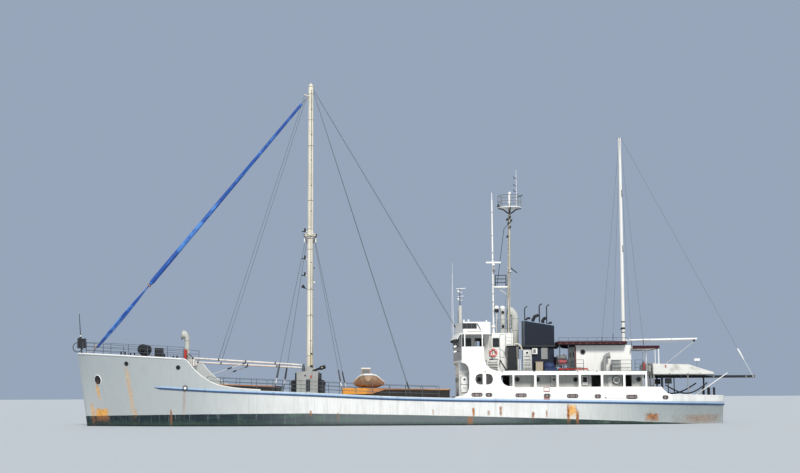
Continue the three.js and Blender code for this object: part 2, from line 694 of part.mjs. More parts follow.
// Bridge deck on its base, with the wings out to the side plating
const screen = { x: 2450, r: 10600, half: 2290 }
function screenArc(inset, low, high, back) {
  const shape = new THREE.Shape()
  const r = screen.r - inset
  const turn = Math.asin(screen.half / screen.r)
  const centre = screen.x + screen.r
  shape.absarc(centre, 0, r, Math.PI - turn, Math.PI + turn)
  back(shape, centre, turn)
  return lying(shape, low, high, 12)
}
const toDepth = (x) => (shape) => {
  shape.lineTo(x, -screen.half)
  shape.lineTo(x, screen.half)
}
add('bridge_deck', joined(
  screenArc(-20, bridgeDeckTop - bridgeDeckThick, bridgeDeckTop, toDepth(3740)),
  box(3700, 4500, -1400, 1400, bridgeDeckTop - bridgeDeckThick, bridgeDeckTop),
  box(4400, 5150, -1010, 1010, boatDeckTop + seat, bridgeDeckTop),
  box(dh.x0, boatDeckX[0] - seat, -dh.half, dh.half, boatDeckTop - boatDeckThick, bridgeDeckTop - 20),
  box(boatDeckX[0] - 50, 4500, -1400, 1400, boatDeckTop + seat, bridgeDeckTop - 20),
), white)

// Bridge front, a curved screen with a row of windows
const windowLow = 3470
const windowHigh = 3860
const frontWindows = [-1950, -1300, -650, 0, 650, 1300, 1950]
const frontWall = screenArc(0, bridgeDeckTop + seat, bridgeRoof - seat, (shape, centre, turn) => {
  shape.absarc(centre, 0, screen.r - plate, Math.PI + turn, Math.PI - turn, true)
})
add('bridge_front', less(frontWall, ...frontWindows.map((y) => {
  return box(2300, 2900, y - 250, y + 250, windowLow, windowHigh)
})), grey)

// Wheelhouse behind the screen, with side windows and doorways to the wings
const wheelHalf = 1450
const wheelEnd = 3990
const behindScreen = screenArc(plate + seat, bridgeDeckTop - 50, bridgeRoof + 50, (shape) => {
  shape.lineTo(2000, -screen.half)
  shape.lineTo(2000, screen.half)
})
add('wheelhouse', less(
  box(2300, wheelEnd, -wheelHalf, wheelHalf, bridgeDeckTop + seat, bridgeRoof - seat),
  box(2200, wheelEnd - plate, -wheelHalf + plate, wheelHalf - plate, bridgeDeckTop - 10, bridgeRoof + 10),
  behindScreen,
  ...sides.flatMap(([side]) => [
    box(2750, 3180, side * wheelHalf - 60, side * wheelHalf + 60, windowLow, windowHigh),
    box(3350, 3750, side * wheelHalf - 60, side * wheelHalf + 60, bridgeDeckTop + 60, windowHigh),
  ]),
  ...[-700, 700].map((y) => box(wheelEnd - 100, wheelEnd + 100, y - 250, y + 250, windowLow, windowHigh)),
), grey)

// Wheelhouse roof and the open bridge on it, with its compass post and the posts of the wings
const tub = { setBack: 90, x1: 4040, half: 2300, wall: 30, floor: 40, round: 260 }
const wingPosts = { x: [2850, 3632], half: 25, y: [2280, 2345] }
const compass = { x: 2765, z: 5440, staff: 6060 }
const screenCentre = screen.x + screen.r
function tubPlan(inset) {
  const shape = new THREE.Shape()
  const half = tub.half - inset
  const r = screen.r - tub.setBack - inset
  const turn = Math.asin(half / r)
  const round = tub.round - inset
  const end = tub.x1 - inset
  shape.absarc(screenCentre, 0, r, Math.PI - turn, Math.PI + turn)
  shape.lineTo(end - round, -half)
  shape.absarc(end - round, round - half, round, -Math.PI / 2, 0)
  shape.lineTo(end, half - round)
  shape.absarc(end - round, half - round, round, 0, Math.PI / 2)
  return shape
}
// The visor's section, out and down from the foot of the tub: distance outside the screen, height
const visorHalf = 2150
const visorSteps = 8
const visorSection = [[-100, 4003], [-100, 4075], [15, 4045], [150, 3805], [140, 3770], [14, 4003]]
const visor = loft(Array.from({ length: visorSteps + 1 }, (_, i) => {
  const turn = (2 * i / visorSteps - 1) * Math.asin(visorHalf / screen.r)
  return visorSection.map(([out, z]) => {
    const r = screen.r + out
    return v(screenCentre - r * Math.cos(turn), r * Math.sin(turn), z)
  })
}))
add('monkey_island', joined(
  less(lying(tubPlan(0), bridgeRoof, tubTop), lying(tubPlan(tub.wall), bridgeRoof + tub.floor, tubTop + 100)),
  visor,
  bar(v(compass.x, 0, bridgeRoof), v(compass.x, 0, compass.z), 90, 85, 12),
  bar(v(compass.x, 0, compass.z - 40), v(compass.x, 0, compass.staff), 22, 16, 6),
  ...wingPosts.x.flatMap((x) => sides.map(([side]) => {
    const [y0, y1] = wingPosts.y.map((y) => side * y).sort((a, b) => a - b)
    return box(x - wingPosts.half, x + wingPosts.half, y0, y1, platingTop + seat, bridgeRoof + tub.floor)
  })),
), white)

// Chart house abaft the wheelhouse, with the post of its aerials
const ch = chartHouse
const aerialPost = { x: 4714, y: -300, top: 5190, r: 112 }
add('chart_house', joined(less(
  box(ch.x0, ch.x1, -ch.half, ch.half, bridgeDeckTop + seat, ch.top),
  inner(ch, bridgeDeckTop - 10, ch.top - plate),
  ...sides.map(([side]) => box(4190, 4480, side * ch.half - 60, side * ch.half + 60, 3470, 3880)),
  box(ch.x1 - 60, ch.x1 + 60, -200, 200, bridgeDeckTop + 60, 3700),
), bar(
  v(aerialPost.x, aerialPost.y, ch.top - 10), v(aerialPost.x, aerialPost.y, aerialPost.top),
  aerialPost.r, aerialPost.r, 14,
)), white)

// Funnel with its casing and exhaust pipes. Columns of pipes: x, y, height, radius
const cornered = (corners) => new THREE.Shape(corners.map(([x, z]) => new THREE.Vector2(x, z)))
const funnelOutline = cornered([[5650, 3525], [7040, 3525], [7055, 4475], [5668, 4712]])
const funnelSlope = (4712 - 4475) / (7055 - 5668)
const exhausts = [[5735, -250, 660, 24], [6440, 0, 915, 28], [6760, -150, 920, 26]]
const exhaustPipes = exhausts.map(([x, y, rise, r]) => {
  const foot = 4712 - (x - 5668) * funnelSlope
  const top = foot + rise
  const route = [v(x, y, foot - 60), v(x, y, top - 100), v(x + 60, y, top - 20), v(x + 130, y, top)]
  return pipe(route, [r, r, r, r], 8)
})
const elbows = [[6150, 170, 270, 250], [6620, 250, 190, 120]].map(([x, y, reach, rise]) => {
  const route = [
    v(x, y, 4500), v(x, y, 4740), v(x + 0.35 * reach, y, 4740 + 0.75 * rise), v(x + reach, y, 4740 + rise),
  ]
  return pipe(route, [80, 80, 78, 72], 10)
})
add('funnel', joined(
  standing(funnelOutline, -560, 560),
  box(5960, 6990, -800, 800, boatDeckTop + seat, 3500),
  box(5700, 6990, -500, 500, boatDeckTop + seat, 3540),
  ...exhaustPipes, ...elbows,
), navy, 0.5)

// Cowl ventilators: a pipe, an elbow and a wide mouth. Columns: name, x, y, foot, top, radius,
// mouth radius, way that the mouth faces
const cowlTable = [
  ['cowl_forward', -9870, 0, forecastleTop - 40, 4050, 115, 230, -1],
  ['cowl_midships', 5340, 560, boatDeckTop + seat, 5030, 175, 270, -1],
]
for (const [name, x, y, foot, top, r, mouth, way] of cowlTable) {
  const path = [
    v(x, y, foot), v(x, y, top - 150), v(x + way * 0.25 * r, y, top),
    v(x + way * 1.0 * r, y, top + 0.75 * r), v(x + way * 1.9 * r, y, top + 0.9 * r),
  ]
  const throat = [
    v(x + way * 0.9 * r, y, top + 0.7 * r), v(x + way * 2.0 * r, y, top + 0.92 * r),
  ]
  const skin = pipe(path, [r, r, r * 1.1, mouth * 0.85, mouth], 12)
  add(name, less(skin, pipe(throat, [r * 0.6, mouth * 0.92], 12), foreSeat), white)
}

// Locker and louvred engine-room trunk beside the funnel
const coamingTop = boatDeckTop + 60
const trunk = less(
  box(5506, 5896, -1560, -1150, coamingTop - 10, 3325),
  ...[0, 1, 2].map((i) => box(5540, 5862, -1600, -1520, 2440 + i * 160, 2520 + i * 160)),
)
add('deck_lockers', joined(
  trunk,
  box(4800, 5920, -1560, -1040, boatDeckTop + seat, coamingTop),
  loft([[boatDeckTop + seat, 0], [3490, -30]].map(([z, g]) => [
    v(4830 - g, -1500, z), v(5245 + g, -1500, z), v(5245 + g, -1060, z), v(4830 - g, -1060, z),
  ])),
  box(4780, 5290, -1530, -1020, 3470, 3520),
), black, 0.8)

// Signal mast with its lookout platform, yard and lamp brackets
const sm = signalMast
const nest = { x: 5140, z: 10000, r: 560, rail: 570 }
const nestPosts = 8
const nestRail = Array.from({ length: nestPosts }, (_, i) => {
  const turn = (i / nestPosts) * 2 * Math.PI
  const next = ((i + 1) / nestPosts) * 2 * Math.PI
  const at = (angle, z) => v(nest.x + 540 * Math.cos(angle), 540 * Math.sin(angle), z)
  return joined(
    bar(at(turn, nest.z), at(turn, nest.z + nest.rail), 14, 14, 4),
    bar(at(turn, nest.z + nest.rail), at(next, nest.z + nest.rail), 14, 14, 4),
    bar(at(turn, nest.z + 290), at(next, nest.z + 290), 11, 11, 4),
  )
})
add('signal_mast', joined(
  bar(v(sm.x0, 0, ch.top + 8 * seat), v(sm.x1, 0, sm.z1), sm.low, sm.high, 12),
  bar(v(nest.x, 0, nest.z - 15), v(nest.x, 0, nest.z + 20), nest.r, nest.r, 20),
  ...nestRail,
  bar(v(5470, 0, nest.z), v(5470, 0, 11800), 14, 8, 6),
  bar(v(5080, -600, 7100), v(5080, 600, 7100), 22),
  box(radarPole.x + 42 + seat, 5000, -110, 110, 6290, 6330),
  bar(v(4420, 0, 6300), v(5040, 0, 5900), 18, 18, 6),
), cream, 0.6)

// Radar pole and its turning scanner
const scanner = { y: -430, z: 7330, half: 345 }
add('radar_pole', joined(
  bar(v(radarPole.x, 0, ch.top + seat), v(radarPole.x, 0, ch.top + 260), 70, 45, 12),
  bar(v(radarPole.x, 0, ch.top + 200), v(radarPole.x, 0, radarPole.head), 42, radarPole.r, 10),
  box(radarPole.x - 60, radarPole.x + 60, scanner.y - 60, 0, scanner.z - 60, scanner.z - 30),
  bar(v(radarPole.x, scanner.y, scanner.z - 40), v(radarPole.x, scanner.y, scanner.z), 58, 50, 12),
), white)
addAt('radar_scanner', v(radarPole.x, scanner.y, scanner.z + seat), joined(
  bar(v(0, 0, 0), v(0, 0, 45), 45, 45, 12),
  box(-scanner.half, scanner.half, -35, 35, 30, 100),
), white)

// House on the boat deck, its awning, and the lighter awning aft of it
const ah = aftHouse
add('boat_deck_house', joined(less(
  box(ah.x0, ah.x1, -ah.half, ah.half, boatDeckTop + seat, ah.top),
  inner(ah, boatDeckTop - 10, ah.top - plate),
  box(9300, 9700, ah.half - 100, ah.half + 100, boatDeckTop + 60, 3330),
), box(ah.x1 - 10, 11640, -1500, 1500, 3370, 3460)), white)
const awning = { x0: 7075, x1: 10190, half: 1620, z0: 3560, z1: 3690 }
const awningTray = (inset, z0, z1) => {
  return box(awning.x0 + inset, awning.x1 - inset, inset - awning.half, awning.half - inset, z0, z1)
}
add('awning_forward', joined(
  less(awningTray(0, awning.z0, awning.z1), awningTray(plate, awning.z0 - 10, awning.z1 - plate)),
  box(awning.x0 + 5, awning.x1 - 5, -60, 60, ah.top + seat, awning.z1 - 20),
), maroon)
// Canopy over the after deck, an open-bottomed cover on four posts. Columns: x, half, top
const canopyRim = 2180
const canopyTable = [[11310, 1650, 2680], [12960, 1500, 2640], [14240, 800, 2300]]
function canopyRing(x, half, top, rimZ) {
  return [v(x, -half, rimZ), v(x, -half, top - 60), v(x, -half + 110, top), v(x, 0, top + 25),
    v(x, half - 110, top), v(x, half, top - 60), v(x, half, rimZ)]
}
const canopySkin = loft(canopyTable.map(([x, half, top]) => canopyRing(x, half, top, canopyRim)))
const canopyInside = loft(canopyTable.map(([x, half, top], i) => {
  return canopyRing(x + [30, 0, -60][i], half - 30, top - 30, canopyRim - 10)
}))
const canopyPosts = [[11360, 1590], [12900, 1460]].flatMap(([x, y]) => sides.map(([side]) => {
  return bar(v(x, side * y, 900), v(x, side * y, canopyRim + 60), 26, 26, 8)
}))
add('aft_canopy', less(joined(less(canopySkin, canopyInside), ...canopyPosts), deckMass), white, 0.8)

// Stern spar on its two posts
add('stern_spar', less(joined(
  box(11180, 16310, -55, 55, 2050, 2165),
  bar(v(11800, 0, 900), v(11800, 0, 2100), 40, 40, 8),
  bar(v(13950, 0, 900), v(13950, 0, 2100), 40, 40, 8),
), deckMass), black, 0.6)

// Mizzen mast on the house, and its boom on a gooseneck
const goose = { x: mizzen.x + 150, z: 3790, half: 22, lug: 52 }
const mizzenHead = v(mizzen.x + 75, 0, mizzen.head)
const gooseLug = (z0, z1) => box(mizzen.x, goose.x + 30, -30, 30, goose.z + z0, goose.z + z1)
add('mizzen_mast', joined(
  bar(v(mizzen.x, 0, ah.top + 3 * seat), mizzenHead, mizzen.low, mizzen.high, 14),
  bar(v(mizzen.x, 0, ah.top + seat), v(mizzen.x, 0, ah.top + 90), 105, 100, 14),
  gooseLug(-goose.lug, -goose.half - seat), gooseLug(goose.half + seat, goose.lug),
), white)
const boomHead = v(13705 - goose.x, 0, 60)
addAt('mizzen_boom', v(goose.x, 0, goose.z), joined(
  bar(v(0, 0, -goose.half), v(0, 0, goose.half), 28, 28, 12),
  bar(v(20, 0, 0), v(140, 0, 2), 20, 20, 10),
  bar(v(120, 0, 2), boomHead, 50, 42, 12),
), white)

// Stern frame, propeller and rudder
const postX = 13083
const shaftZ = -850
const soleZ = -1366
const stockX = 13750
add('stern_frame', joined(
  box(postX, postX + 45, -35, 35, soleZ, -430),
  box(postX, stockX + 70, -40, 40, soleZ, soleZ + 60),
  bar(v(postX, 0, shaftZ), v(postX + 90, 0, shaftZ), 85, 75, 16),
), black)
const bladeCount = 4
const bladePitch = 1.0
const blade = (i) => {
  const turn = new THREE.Matrix4().makeRotationX((i / bladeCount) * 2 * Math.PI)
  const shape = new THREE.CylinderGeometry(145, 145, 22, 14).scale(1, 1, 1.3)
  return solid(shape.rotateZ(bladePitch).translate(0, 0, 205).applyMatrix4(turn))
}
addAt('propeller', v(postX + 90 + seat + 90, 0, shaftZ), joined(
  bar(v(-90, 0, 0), v(90, 0, 0), 75, 60, 16),
  bar(v(89, 0, 0), v(150, 0, 0), 60, 20, 16),
  ...Array.from({ length: bladeCount }, (_, i) => blade(i)),
), bronze, 0.4, 0.8)
const rudderFoot = soleZ + 60
const stockTop = -342 - rudderFoot
const rudderOutline = cornered([[-110, 875], [450, 955], [450, 85], [-110, 25]])
addAt('rudder', v(stockX, 0, rudderFoot), joined(
  standing(rudderOutline, -30, 30),
  bar(v(0, 0, seat), v(0, 0, 40), 26, 26, 12),
  bar(v(0, 0, 840), v(0, 0, stockTop), 40, 40, 12),
), black)

// Workboat stowed across the after hatch, on its keel and two chocks. Columns: y, half beam, and
// the keel's and the gunwale's height above the hatch cover
const boatX = -1470
const boatFoot = coverTop(hatchTable[1], boatX) + seat
const boatWall = 45
const boatTable = [
  [-1380, 150, 300, 610], [-1150, 340, 92, 570], [-700, 600, 22, 342], [100, 700, 0, 282],
  [1200, 640, 12, 277],
]
function boatRing([y, half, keel, top], inset) {
  const h = half - inset
  const low = boatFoot + keel + inset
  const rim = boatFoot + top + (inset ? 100 : 0)
  const chine = low + 0.55 * (top - keel)
  const garboard = low + 0.15 * (top - keel)
  return [
    v(boatX - h, y, rim), v(boatX - h, y, chine), v(boatX - 0.6 * h, y, garboard), v(boatX, y, low),
    v(boatX + 0.6 * h, y, garboard), v(boatX + h, y, chine), v(boatX + h, y, rim),
  ]
}
const boatShell = loft(boatTable.map((row) => boatRing(row, 0)))
const boatInside = loft(boatTable.slice(1).map((row, i, rows) => {
  const [y, ...rest] = row
  return boatRing([i === rows.length - 1 ? y - boatWall : y, ...rest], boatWall)
}))
const chocks = [-500, 900].map((y) => {
  return box(boatX - 330, boatX + 330, y - 50, y + 50, boatFoot - 60, boatFoot + 60)
})
const console = box(boatX - 350, boatX + 70, 200, 420, boatFoot + 30, boatFoot + 945)
add('workboat', less(
  joined(less(joined(boatShell, ...chocks), boatInside), console),
  hatchBlock(hatchTable[1], coverLap, -coverThick, seat),
), orange, 0.6)

export default vessel
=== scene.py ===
"""A coastal general cargo vessel at half its real size, afloat, in metres.

The bow points to -X, starboard to +Y and up to +Z, with the origin amidships on the waterline.
"""

import json
import math

import bmesh
import bpy
from mathutils import Matrix, Vector

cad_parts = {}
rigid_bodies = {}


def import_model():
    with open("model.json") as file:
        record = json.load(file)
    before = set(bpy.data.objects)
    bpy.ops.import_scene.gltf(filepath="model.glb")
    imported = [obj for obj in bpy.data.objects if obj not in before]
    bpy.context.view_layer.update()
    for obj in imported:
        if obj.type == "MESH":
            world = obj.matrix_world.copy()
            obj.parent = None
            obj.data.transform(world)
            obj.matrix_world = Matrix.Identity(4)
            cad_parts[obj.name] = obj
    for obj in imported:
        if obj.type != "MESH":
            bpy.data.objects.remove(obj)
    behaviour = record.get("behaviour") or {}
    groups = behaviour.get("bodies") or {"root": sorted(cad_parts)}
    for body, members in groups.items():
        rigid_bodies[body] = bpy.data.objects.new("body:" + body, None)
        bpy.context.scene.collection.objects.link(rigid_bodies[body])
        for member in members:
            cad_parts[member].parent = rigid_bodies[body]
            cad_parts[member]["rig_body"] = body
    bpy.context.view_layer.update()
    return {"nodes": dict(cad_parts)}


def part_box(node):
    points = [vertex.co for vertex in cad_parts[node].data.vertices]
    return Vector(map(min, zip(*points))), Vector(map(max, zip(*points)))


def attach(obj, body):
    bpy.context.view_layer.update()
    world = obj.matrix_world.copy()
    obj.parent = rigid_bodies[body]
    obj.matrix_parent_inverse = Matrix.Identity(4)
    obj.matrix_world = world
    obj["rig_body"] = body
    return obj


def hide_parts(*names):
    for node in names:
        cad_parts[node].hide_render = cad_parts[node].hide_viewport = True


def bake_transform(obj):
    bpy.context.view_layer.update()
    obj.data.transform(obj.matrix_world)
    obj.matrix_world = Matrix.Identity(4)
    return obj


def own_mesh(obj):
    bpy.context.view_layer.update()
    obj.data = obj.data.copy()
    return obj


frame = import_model()

# Camera, floor and light. The camera stands low off the port side, and its place and lens come
# from the horizon and the known heights in the photograph. The floor is the water's surface.
scene = bpy.context.scene
FOCAL_PX = 1265
FRAME_PX = (800, 473)
HORIZON_PX = 396
SENSOR = 36
EYE = Vector((0, -58.65, 1.29))
ROLL = math.radians(-0.3)
pitch = math.atan((HORIZON_PX - FRAME_PX[1] / 2) / FOCAL_PX)
lens = bpy.data.cameras.new("camera")
lens.sensor_width = SENSOR
lens.lens = FOCAL_PX / FRAME_PX[0] * SENSOR
lens.clip_end = 2000
camera = bpy.data.objects.new("camera", lens)
camera.matrix_world = (
    Matrix.Translation(EYE)
    @ Matrix.Rotation(math.radians(90) + pitch, 4, "X")
    @ Matrix.Rotation(ROLL, 4, "Z")
)
scene.collection.objects.link(camera)
scene.camera = camera

scene.view_settings.view_transform = "Standard"
sun = bpy.data.lights.new("hazy sun", "SUN")
sun.energy = 2.75
sun.angle = math.radians(14)
sun.color = (1.0, 0.97, 0.92)
sun_lamp = bpy.data.objects.new("hazy sun", sun)
sun_lamp.rotation_euler = Vector((-0.16, 0.87, -0.66)).to_track_quat("-Z", "Y").to_euler()
scene.collection.objects.link(sun_lamp)

FLOOR_REACH = 900
floor_mesh = bpy.data.meshes.new("water_level")
bm = bmesh.new()
bmesh.ops.create_grid(bm, x_segments=2, y_segments=2, size=FLOOR_REACH)
bm.to_mesh(floor_mesh)
bm.free()
floor = bpy.data.objects.new("water_level", floor_mesh)
scene.collection.objects.link(floor)


def put(tree, kind, inputs=(), **settings):
    """Adds a node, and links or sets its inputs."""
    node = tree.nodes.new(kind)
    for key, value in settings.items():
        setattr(node, key, value)
    for key, value in dict(inputs).items():
        if isinstance(value, bpy.types.NodeSocket):
            tree.links.new(value, node.inputs[key])
        else:
            node.inputs[key].default_value = value
    return node


def maths(operation, *values):
    """The result of a sum or other operation on numbers and sockets."""
    tree = next(value.id_data for value in values if isinstance(value, bpy.types.NodeSocket))
    return put(tree, "ShaderNodeMath", enumerate(values), operation=operation).outputs[0]


def times(a, b):
    return maths("MULTIPLY", a, b)


def plus(a, b):
    return maths("ADD", a, b)


def minus(a, b):
    return maths("SUBTRACT", a, b)


def step(value, low, high, to_low=0.0, to_high=1.0):
    """A smooth step as a value goes from one level to another."""
    inputs = {"Value": value, "From Min": low, "From Max": high, "To Min": to_low, "To Max": to_high}
    return put(value.id_data, "ShaderNodeMapRange", inputs, interpolation_type="SMOOTHSTEP").outputs[0]


def tint(share, low, high, blend="MIX"):
    """Two colours mixed by a share."""
    low, high = ((*colour, 1) if isinstance(colour, tuple) else colour for colour in (low, high))
    inputs = {0: share, 6: low, 7: high}
    return put(share.id_data, "ShaderNodeMix", inputs, data_type="RGBA", blend_type=blend).outputs[2]


def noisy(place, scale, detail=4.0, roughness=0.55):
    """A noise over the surface, from 0 to 1."""
    inputs = {"Vector": place, "Scale": scale, "Detail": detail, "Roughness": roughness}
    return put(place.id_data, "ShaderNodeTexNoise", inputs).outputs["Fac"]


def stretched(place, factors):
    """Coordinates multiplied along each axis."""
    inputs = {0: place, 1: factors}
    return put(place.id_data, "ShaderNodeVectorMath", inputs, operation="MULTIPLY").outputs[0]


def axes(place):
    """A place's x, y and z."""
    return put(place.id_data, "ShaderNodeSeparateXYZ", {0: place}).outputs


def plain(name, colour, roughness=0.5, metallic=0.0):
    """A material of one colour, with its shader and its object coordinates."""
    material = bpy.data.materials.new(name)
    material.use_nodes = True
    shader = material.node_tree.nodes["Principled BSDF"]
    shader.inputs["Base Color"].default_value = (*colour, 1)
    shader.inputs["Roughness"].default_value = roughness
    shader.inputs["Metallic"].default_value = metallic
    return material, shader, put(material.node_tree, "ShaderNodeTexCoord").outputs["Object"]


def joined(node, key, value):
    """Links a value to one of a node's inputs."""
    node.id_data.links.new(value, node.inputs[key])


def bumped(shader, height, distance, strength=1.0):
    """Joins a height to the shader's normal."""
    inputs = {"Height": height, "Distance": distance, "Strength": strength}
    joined(shader, "Normal", put(shader.id_data, "ShaderNodeBump", inputs).outputs[0])


floor_mesh.materials.append(plain("pale floor", (0.50, 0.545, 0.59), 0.6)[0])

sky = bpy.data.worlds.new("sky")
sky.use_nodes = True
tree = sky.node_tree
seen = put(tree, "ShaderNodeBackground", {"Color": (0.31, 0.38, 0.49, 1), "Strength": 1.0})
lit = put(tree, "ShaderNodeBackground", {"Color": (0.55, 0.58, 0.61, 1), "Strength": 1.0})
ray = put(tree, "ShaderNodeLightPath").outputs["Is Camera Ray"]
mixed = put(tree, "ShaderNodeMixShader", {0: ray, 1: lit.outputs[0], 2: seen.outputs[0]})
tree.links.new(mixed.outputs[0], tree.nodes["World Output"].inputs["Surface"])
scene.world = sky

# Paint on steel. Every painted plate of the vessel takes this group: a coat that chalks in
# patches, runs of dirt under the edges, and rust that breaks out in spots and bleeds downwards.
weathered = bpy.data.node_groups.new("weathered paint", "ShaderNodeTree")
for name, kind, value in (
    ("Paint", "NodeSocketColor", (0.8, 0.8, 0.8, 1)), ("Dirt", "NodeSocketFloat", 0.3),
    ("Runs", "NodeSocketFloat", 0.3), ("Rust", "NodeSocketFloat", 0.2),
):
    weathered.interface.new_socket(name, in_out="INPUT", socket_type=kind).default_value = value
for name, kind in (("Color", "Color"), ("Roughness", "Float"), ("Height", "Float")):
    weathered.interface.new_socket(name, in_out="OUTPUT", socket_type=f"NodeSocket{kind}")
given = put(weathered, "NodeGroupInput").outputs
place = put(weathered, "ShaderNodeTexCoord").outputs["Object"]
blotches = noisy(place, 0.9, 5.0, 0.6)
grain = noisy(place, 34.0, 2.0)
runs = noisy(stretched(place, (6.0, 6.0, 0.45)), 1.0, 4.0, 0.6)
spots = step(noisy(place, 5.5, 6.0, 0.72), 0.64, 0.70)
bleeding = noisy(stretched(place, (7.0, 7.0, 1.1)), 1.0, 5.0, 0.7)
dirt = times(step(blotches, 0.42, 0.72), given["Dirt"])
run = times(step(runs, 0.47, 0.72), given["Runs"])
grime = maths("MAXIMUM", dirt, run)
colour = tint(grime, given["Paint"], (0.42, 0.40, 0.34), "MULTIPLY")
stain = times(step(bleeding, 0.60, 0.78), given["Rust"])
colour = tint(times(stain, 0.6), colour, (0.55, 0.30, 0.12))
rust = times(spots, given["Rust"])
colour = tint(rust, colour, (0.20, 0.075, 0.028))
worn = times(maths("MAXIMUM", rust, grime), 0.35)
rough = plus(plus(worn, 0.42), times(grain, 0.08))
height = plus(times(grain, 0.3), times(blotches, 0.7))
put(weathered, "NodeGroupOutput", {"Color": colour, "Roughness": rough, "Height": height})


def coated(tree, colour, dirt, runs, rust):
    """The outputs of weathered paint of one colour."""
    coat = put(tree, "ShaderNodeGroup", node_tree=weathered)
    for key, value in (("Paint", (*colour, 1)), ("Dirt", dirt), ("Runs", runs), ("Rust", rust)):
        coat.inputs[key].default_value = value
    return coat.outputs


def paint(name, colour, dirt=0.25, runs=0.25, rust=0.1):
    """Weathered paint of one colour as a material."""
    material, shader, _ = plain(name, colour)
    coat = coated(shader.id_data, colour, dirt, runs, rust)
    joined(shader, "Base Color", coat["Color"])
    joined(shader, "Roughness", coat["Roughness"])
    shader.inputs["Specular IOR Level"].default_value = 0.22
    bumped(shader, coat["Height"], 0.004, 0.5)
    return material


def piece(name, bm, materials, body="vessel", replaces=(), crease=32, eased=None):
    """A finished mesh as a piece of the vessel that moves with a body."""
    bmesh.ops.recalc_face_normals(bm, faces=bm.faces)
    mesh = bpy.data.meshes.new(name)
    bm.to_mesh(mesh)
    bm.free()
    for material in materials:
        mesh.materials.append(material)
    mesh.shade_smooth()
    mesh.set_sharp_from_angle(angle=math.radians(crease))
    made = bpy.data.objects.new(name, mesh)
    scene.collection.objects.link(made)
    if eased:
        bevel = made.modifiers.new("eased edges", "BEVEL")
        bevel.width = eased
        bevel.segments = 2
        bevel.limit_method = "ANGLE"
        bevel.angle_limit = math.radians(crease)
        bevel.harden_normals = True
    if body:
        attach(made, body)
    if replaces:
        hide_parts(*([replaces] if isinstance(replaces, str) else replaces))
    return made


UP = Vector((0, 0, 1))
ACROSS = Vector((0, 1, 0))
SIDES = (-1, 1)


def faced(verts, index):
    """Gives the faces round some vertices a material."""
    for vert in verts:
        for face in vert.link_faces:
            face.material_index = index


def block(bm, low, high, index=0):
    """A box between two corners."""
    low, high = Vector(low), Vector(high)
    place = Matrix.Translation((low + high) / 2) @ Matrix.Diagonal((*(high - low), 1))
    verts = bmesh.ops.create_cube(bm, size=1, matrix=place)["verts"]
    faced(verts, index)
    return verts


def post(bm, x, y, low, high, half_x, half_y, index=0):
    """A block round an upright line, between two heights."""
    block(bm, (x - half_x, y - half_y, low), (x + half_x, y + half_y, high), index)


def ring_edges(verts):
    """The edges that join a ring's own vertices."""
    held = set(verts)
    return {edge for vert in verts for edge in vert.link_edges if edge.other_vert(vert) in held}


def sweep(bm, points, radii, facets=10, index=0):
    """A round bar or pipe through the points, closed at both ends."""
    points = [Vector(point) for point in points]
    last = len(points) - 1
    radii = radii if hasattr(radii, "__len__") else [radii] * len(points)
    rings = []
    for i, point in enumerate(points):
        along = (points[min(i + 1, last)] - points[max(i - 1, 0)]).normalized()
        turn = before.rotation_difference(along) @ turn if i else along.to_track_quat("Z", "Y")
        before = along
        rings.append(bmesh.ops.create_circle(
            bm, radius=radii[i], segments=facets, cap_ends=i in (0, last),
            matrix=Matrix.Translation(point) @ turn.to_matrix().to_4x4(),
        )["verts"])
    for a, b in zip(rings, rings[1:]):
        bmesh.ops.bridge_loops(bm, edges=list(ring_edges(a) | ring_edges(b)))
    faced([vert for ring in rings for vert in ring], index)


def drum(bm, a, b, radius, other=None, facets=24, index=0):
    """A straight cylinder or cone from a to b."""
    a, b = Vector(a), Vector(b)
    turn = (b - a).to_track_quat("Z", "Y").to_matrix().to_4x4()
    verts = bmesh.ops.create_cone(
        bm, cap_ends=True, segments=facets, radius1=radius, radius2=radius if other is None else other,
        depth=(b - a).length, matrix=Matrix.Translation((a + b) / 2) @ turn,
    )["verts"]
    faced(verts, index)
    return verts


def stack(bm, x, y, rows, facets=16):
    """Upright drums and cones. Rows: bottom, top, lower and upper radius, material."""
    for low, high, radius, other, index in rows:
        drum(bm, (x, y, low), (x, y, high), radius, other, facets, index)


def ball(bm, centre, radius, index=0, shape=(1, 1, 1), facets=16):
    """A sphere or an egg."""
    place = Matrix.Translation(centre) @ Matrix.Diagonal((*shape, 1))
    verts = bmesh.ops.create_uvsphere(
        bm, u_segments=facets, v_segments=facets // 2, radius=radius, matrix=place)["verts"]
    faced(verts, index)


def hoop(bm, centre, normal, radius, thick, index=0, facets=24, sides=8, shape=(1, 1)):
    """A closed ring of round bar, which can be oval."""
    known = set(bm.verts)
    start = Matrix.Translation((radius, 0, 0)) @ Matrix.Rotation(math.pi / 2, 4, "X")
    ring = bmesh.ops.create_circle(bm, radius=thick, segments=sides, matrix=start)["verts"]
    bmesh.ops.spin(
        bm, geom=ring + list(ring_edges(ring)), angle=math.tau, steps=facets,
        axis=(0, 0, 1), cent=(0, 0, 0), use_merge=True,
    )
    verts = [vert for vert in bm.verts if vert not in known]
    turn = Vector(normal).to_track_quat("Z", "Y").to_matrix().to_4x4()
    place = Matrix.Translation(centre) @ turn @ Matrix.Diagonal((*shape, 1, 1))
    bmesh.ops.transform(bm, matrix=place, verts=verts)
    faced(verts, index)


def bands(bm, x, y, heights, radius, thick, index=0, facets=24):
    """Level hoops round one upright line."""
    for z in heights:
        hoop(bm, (x, y, z), UP, radius, thick, index, facets, 6)


def spokes(count, start=0.0):
    """The cosine and sine of each of some evenly spaced turns."""
    turns = [(i + start) * math.tau / count for i in range(count)]
    return [(math.cos(turn), math.sin(turn)) for turn in turns]


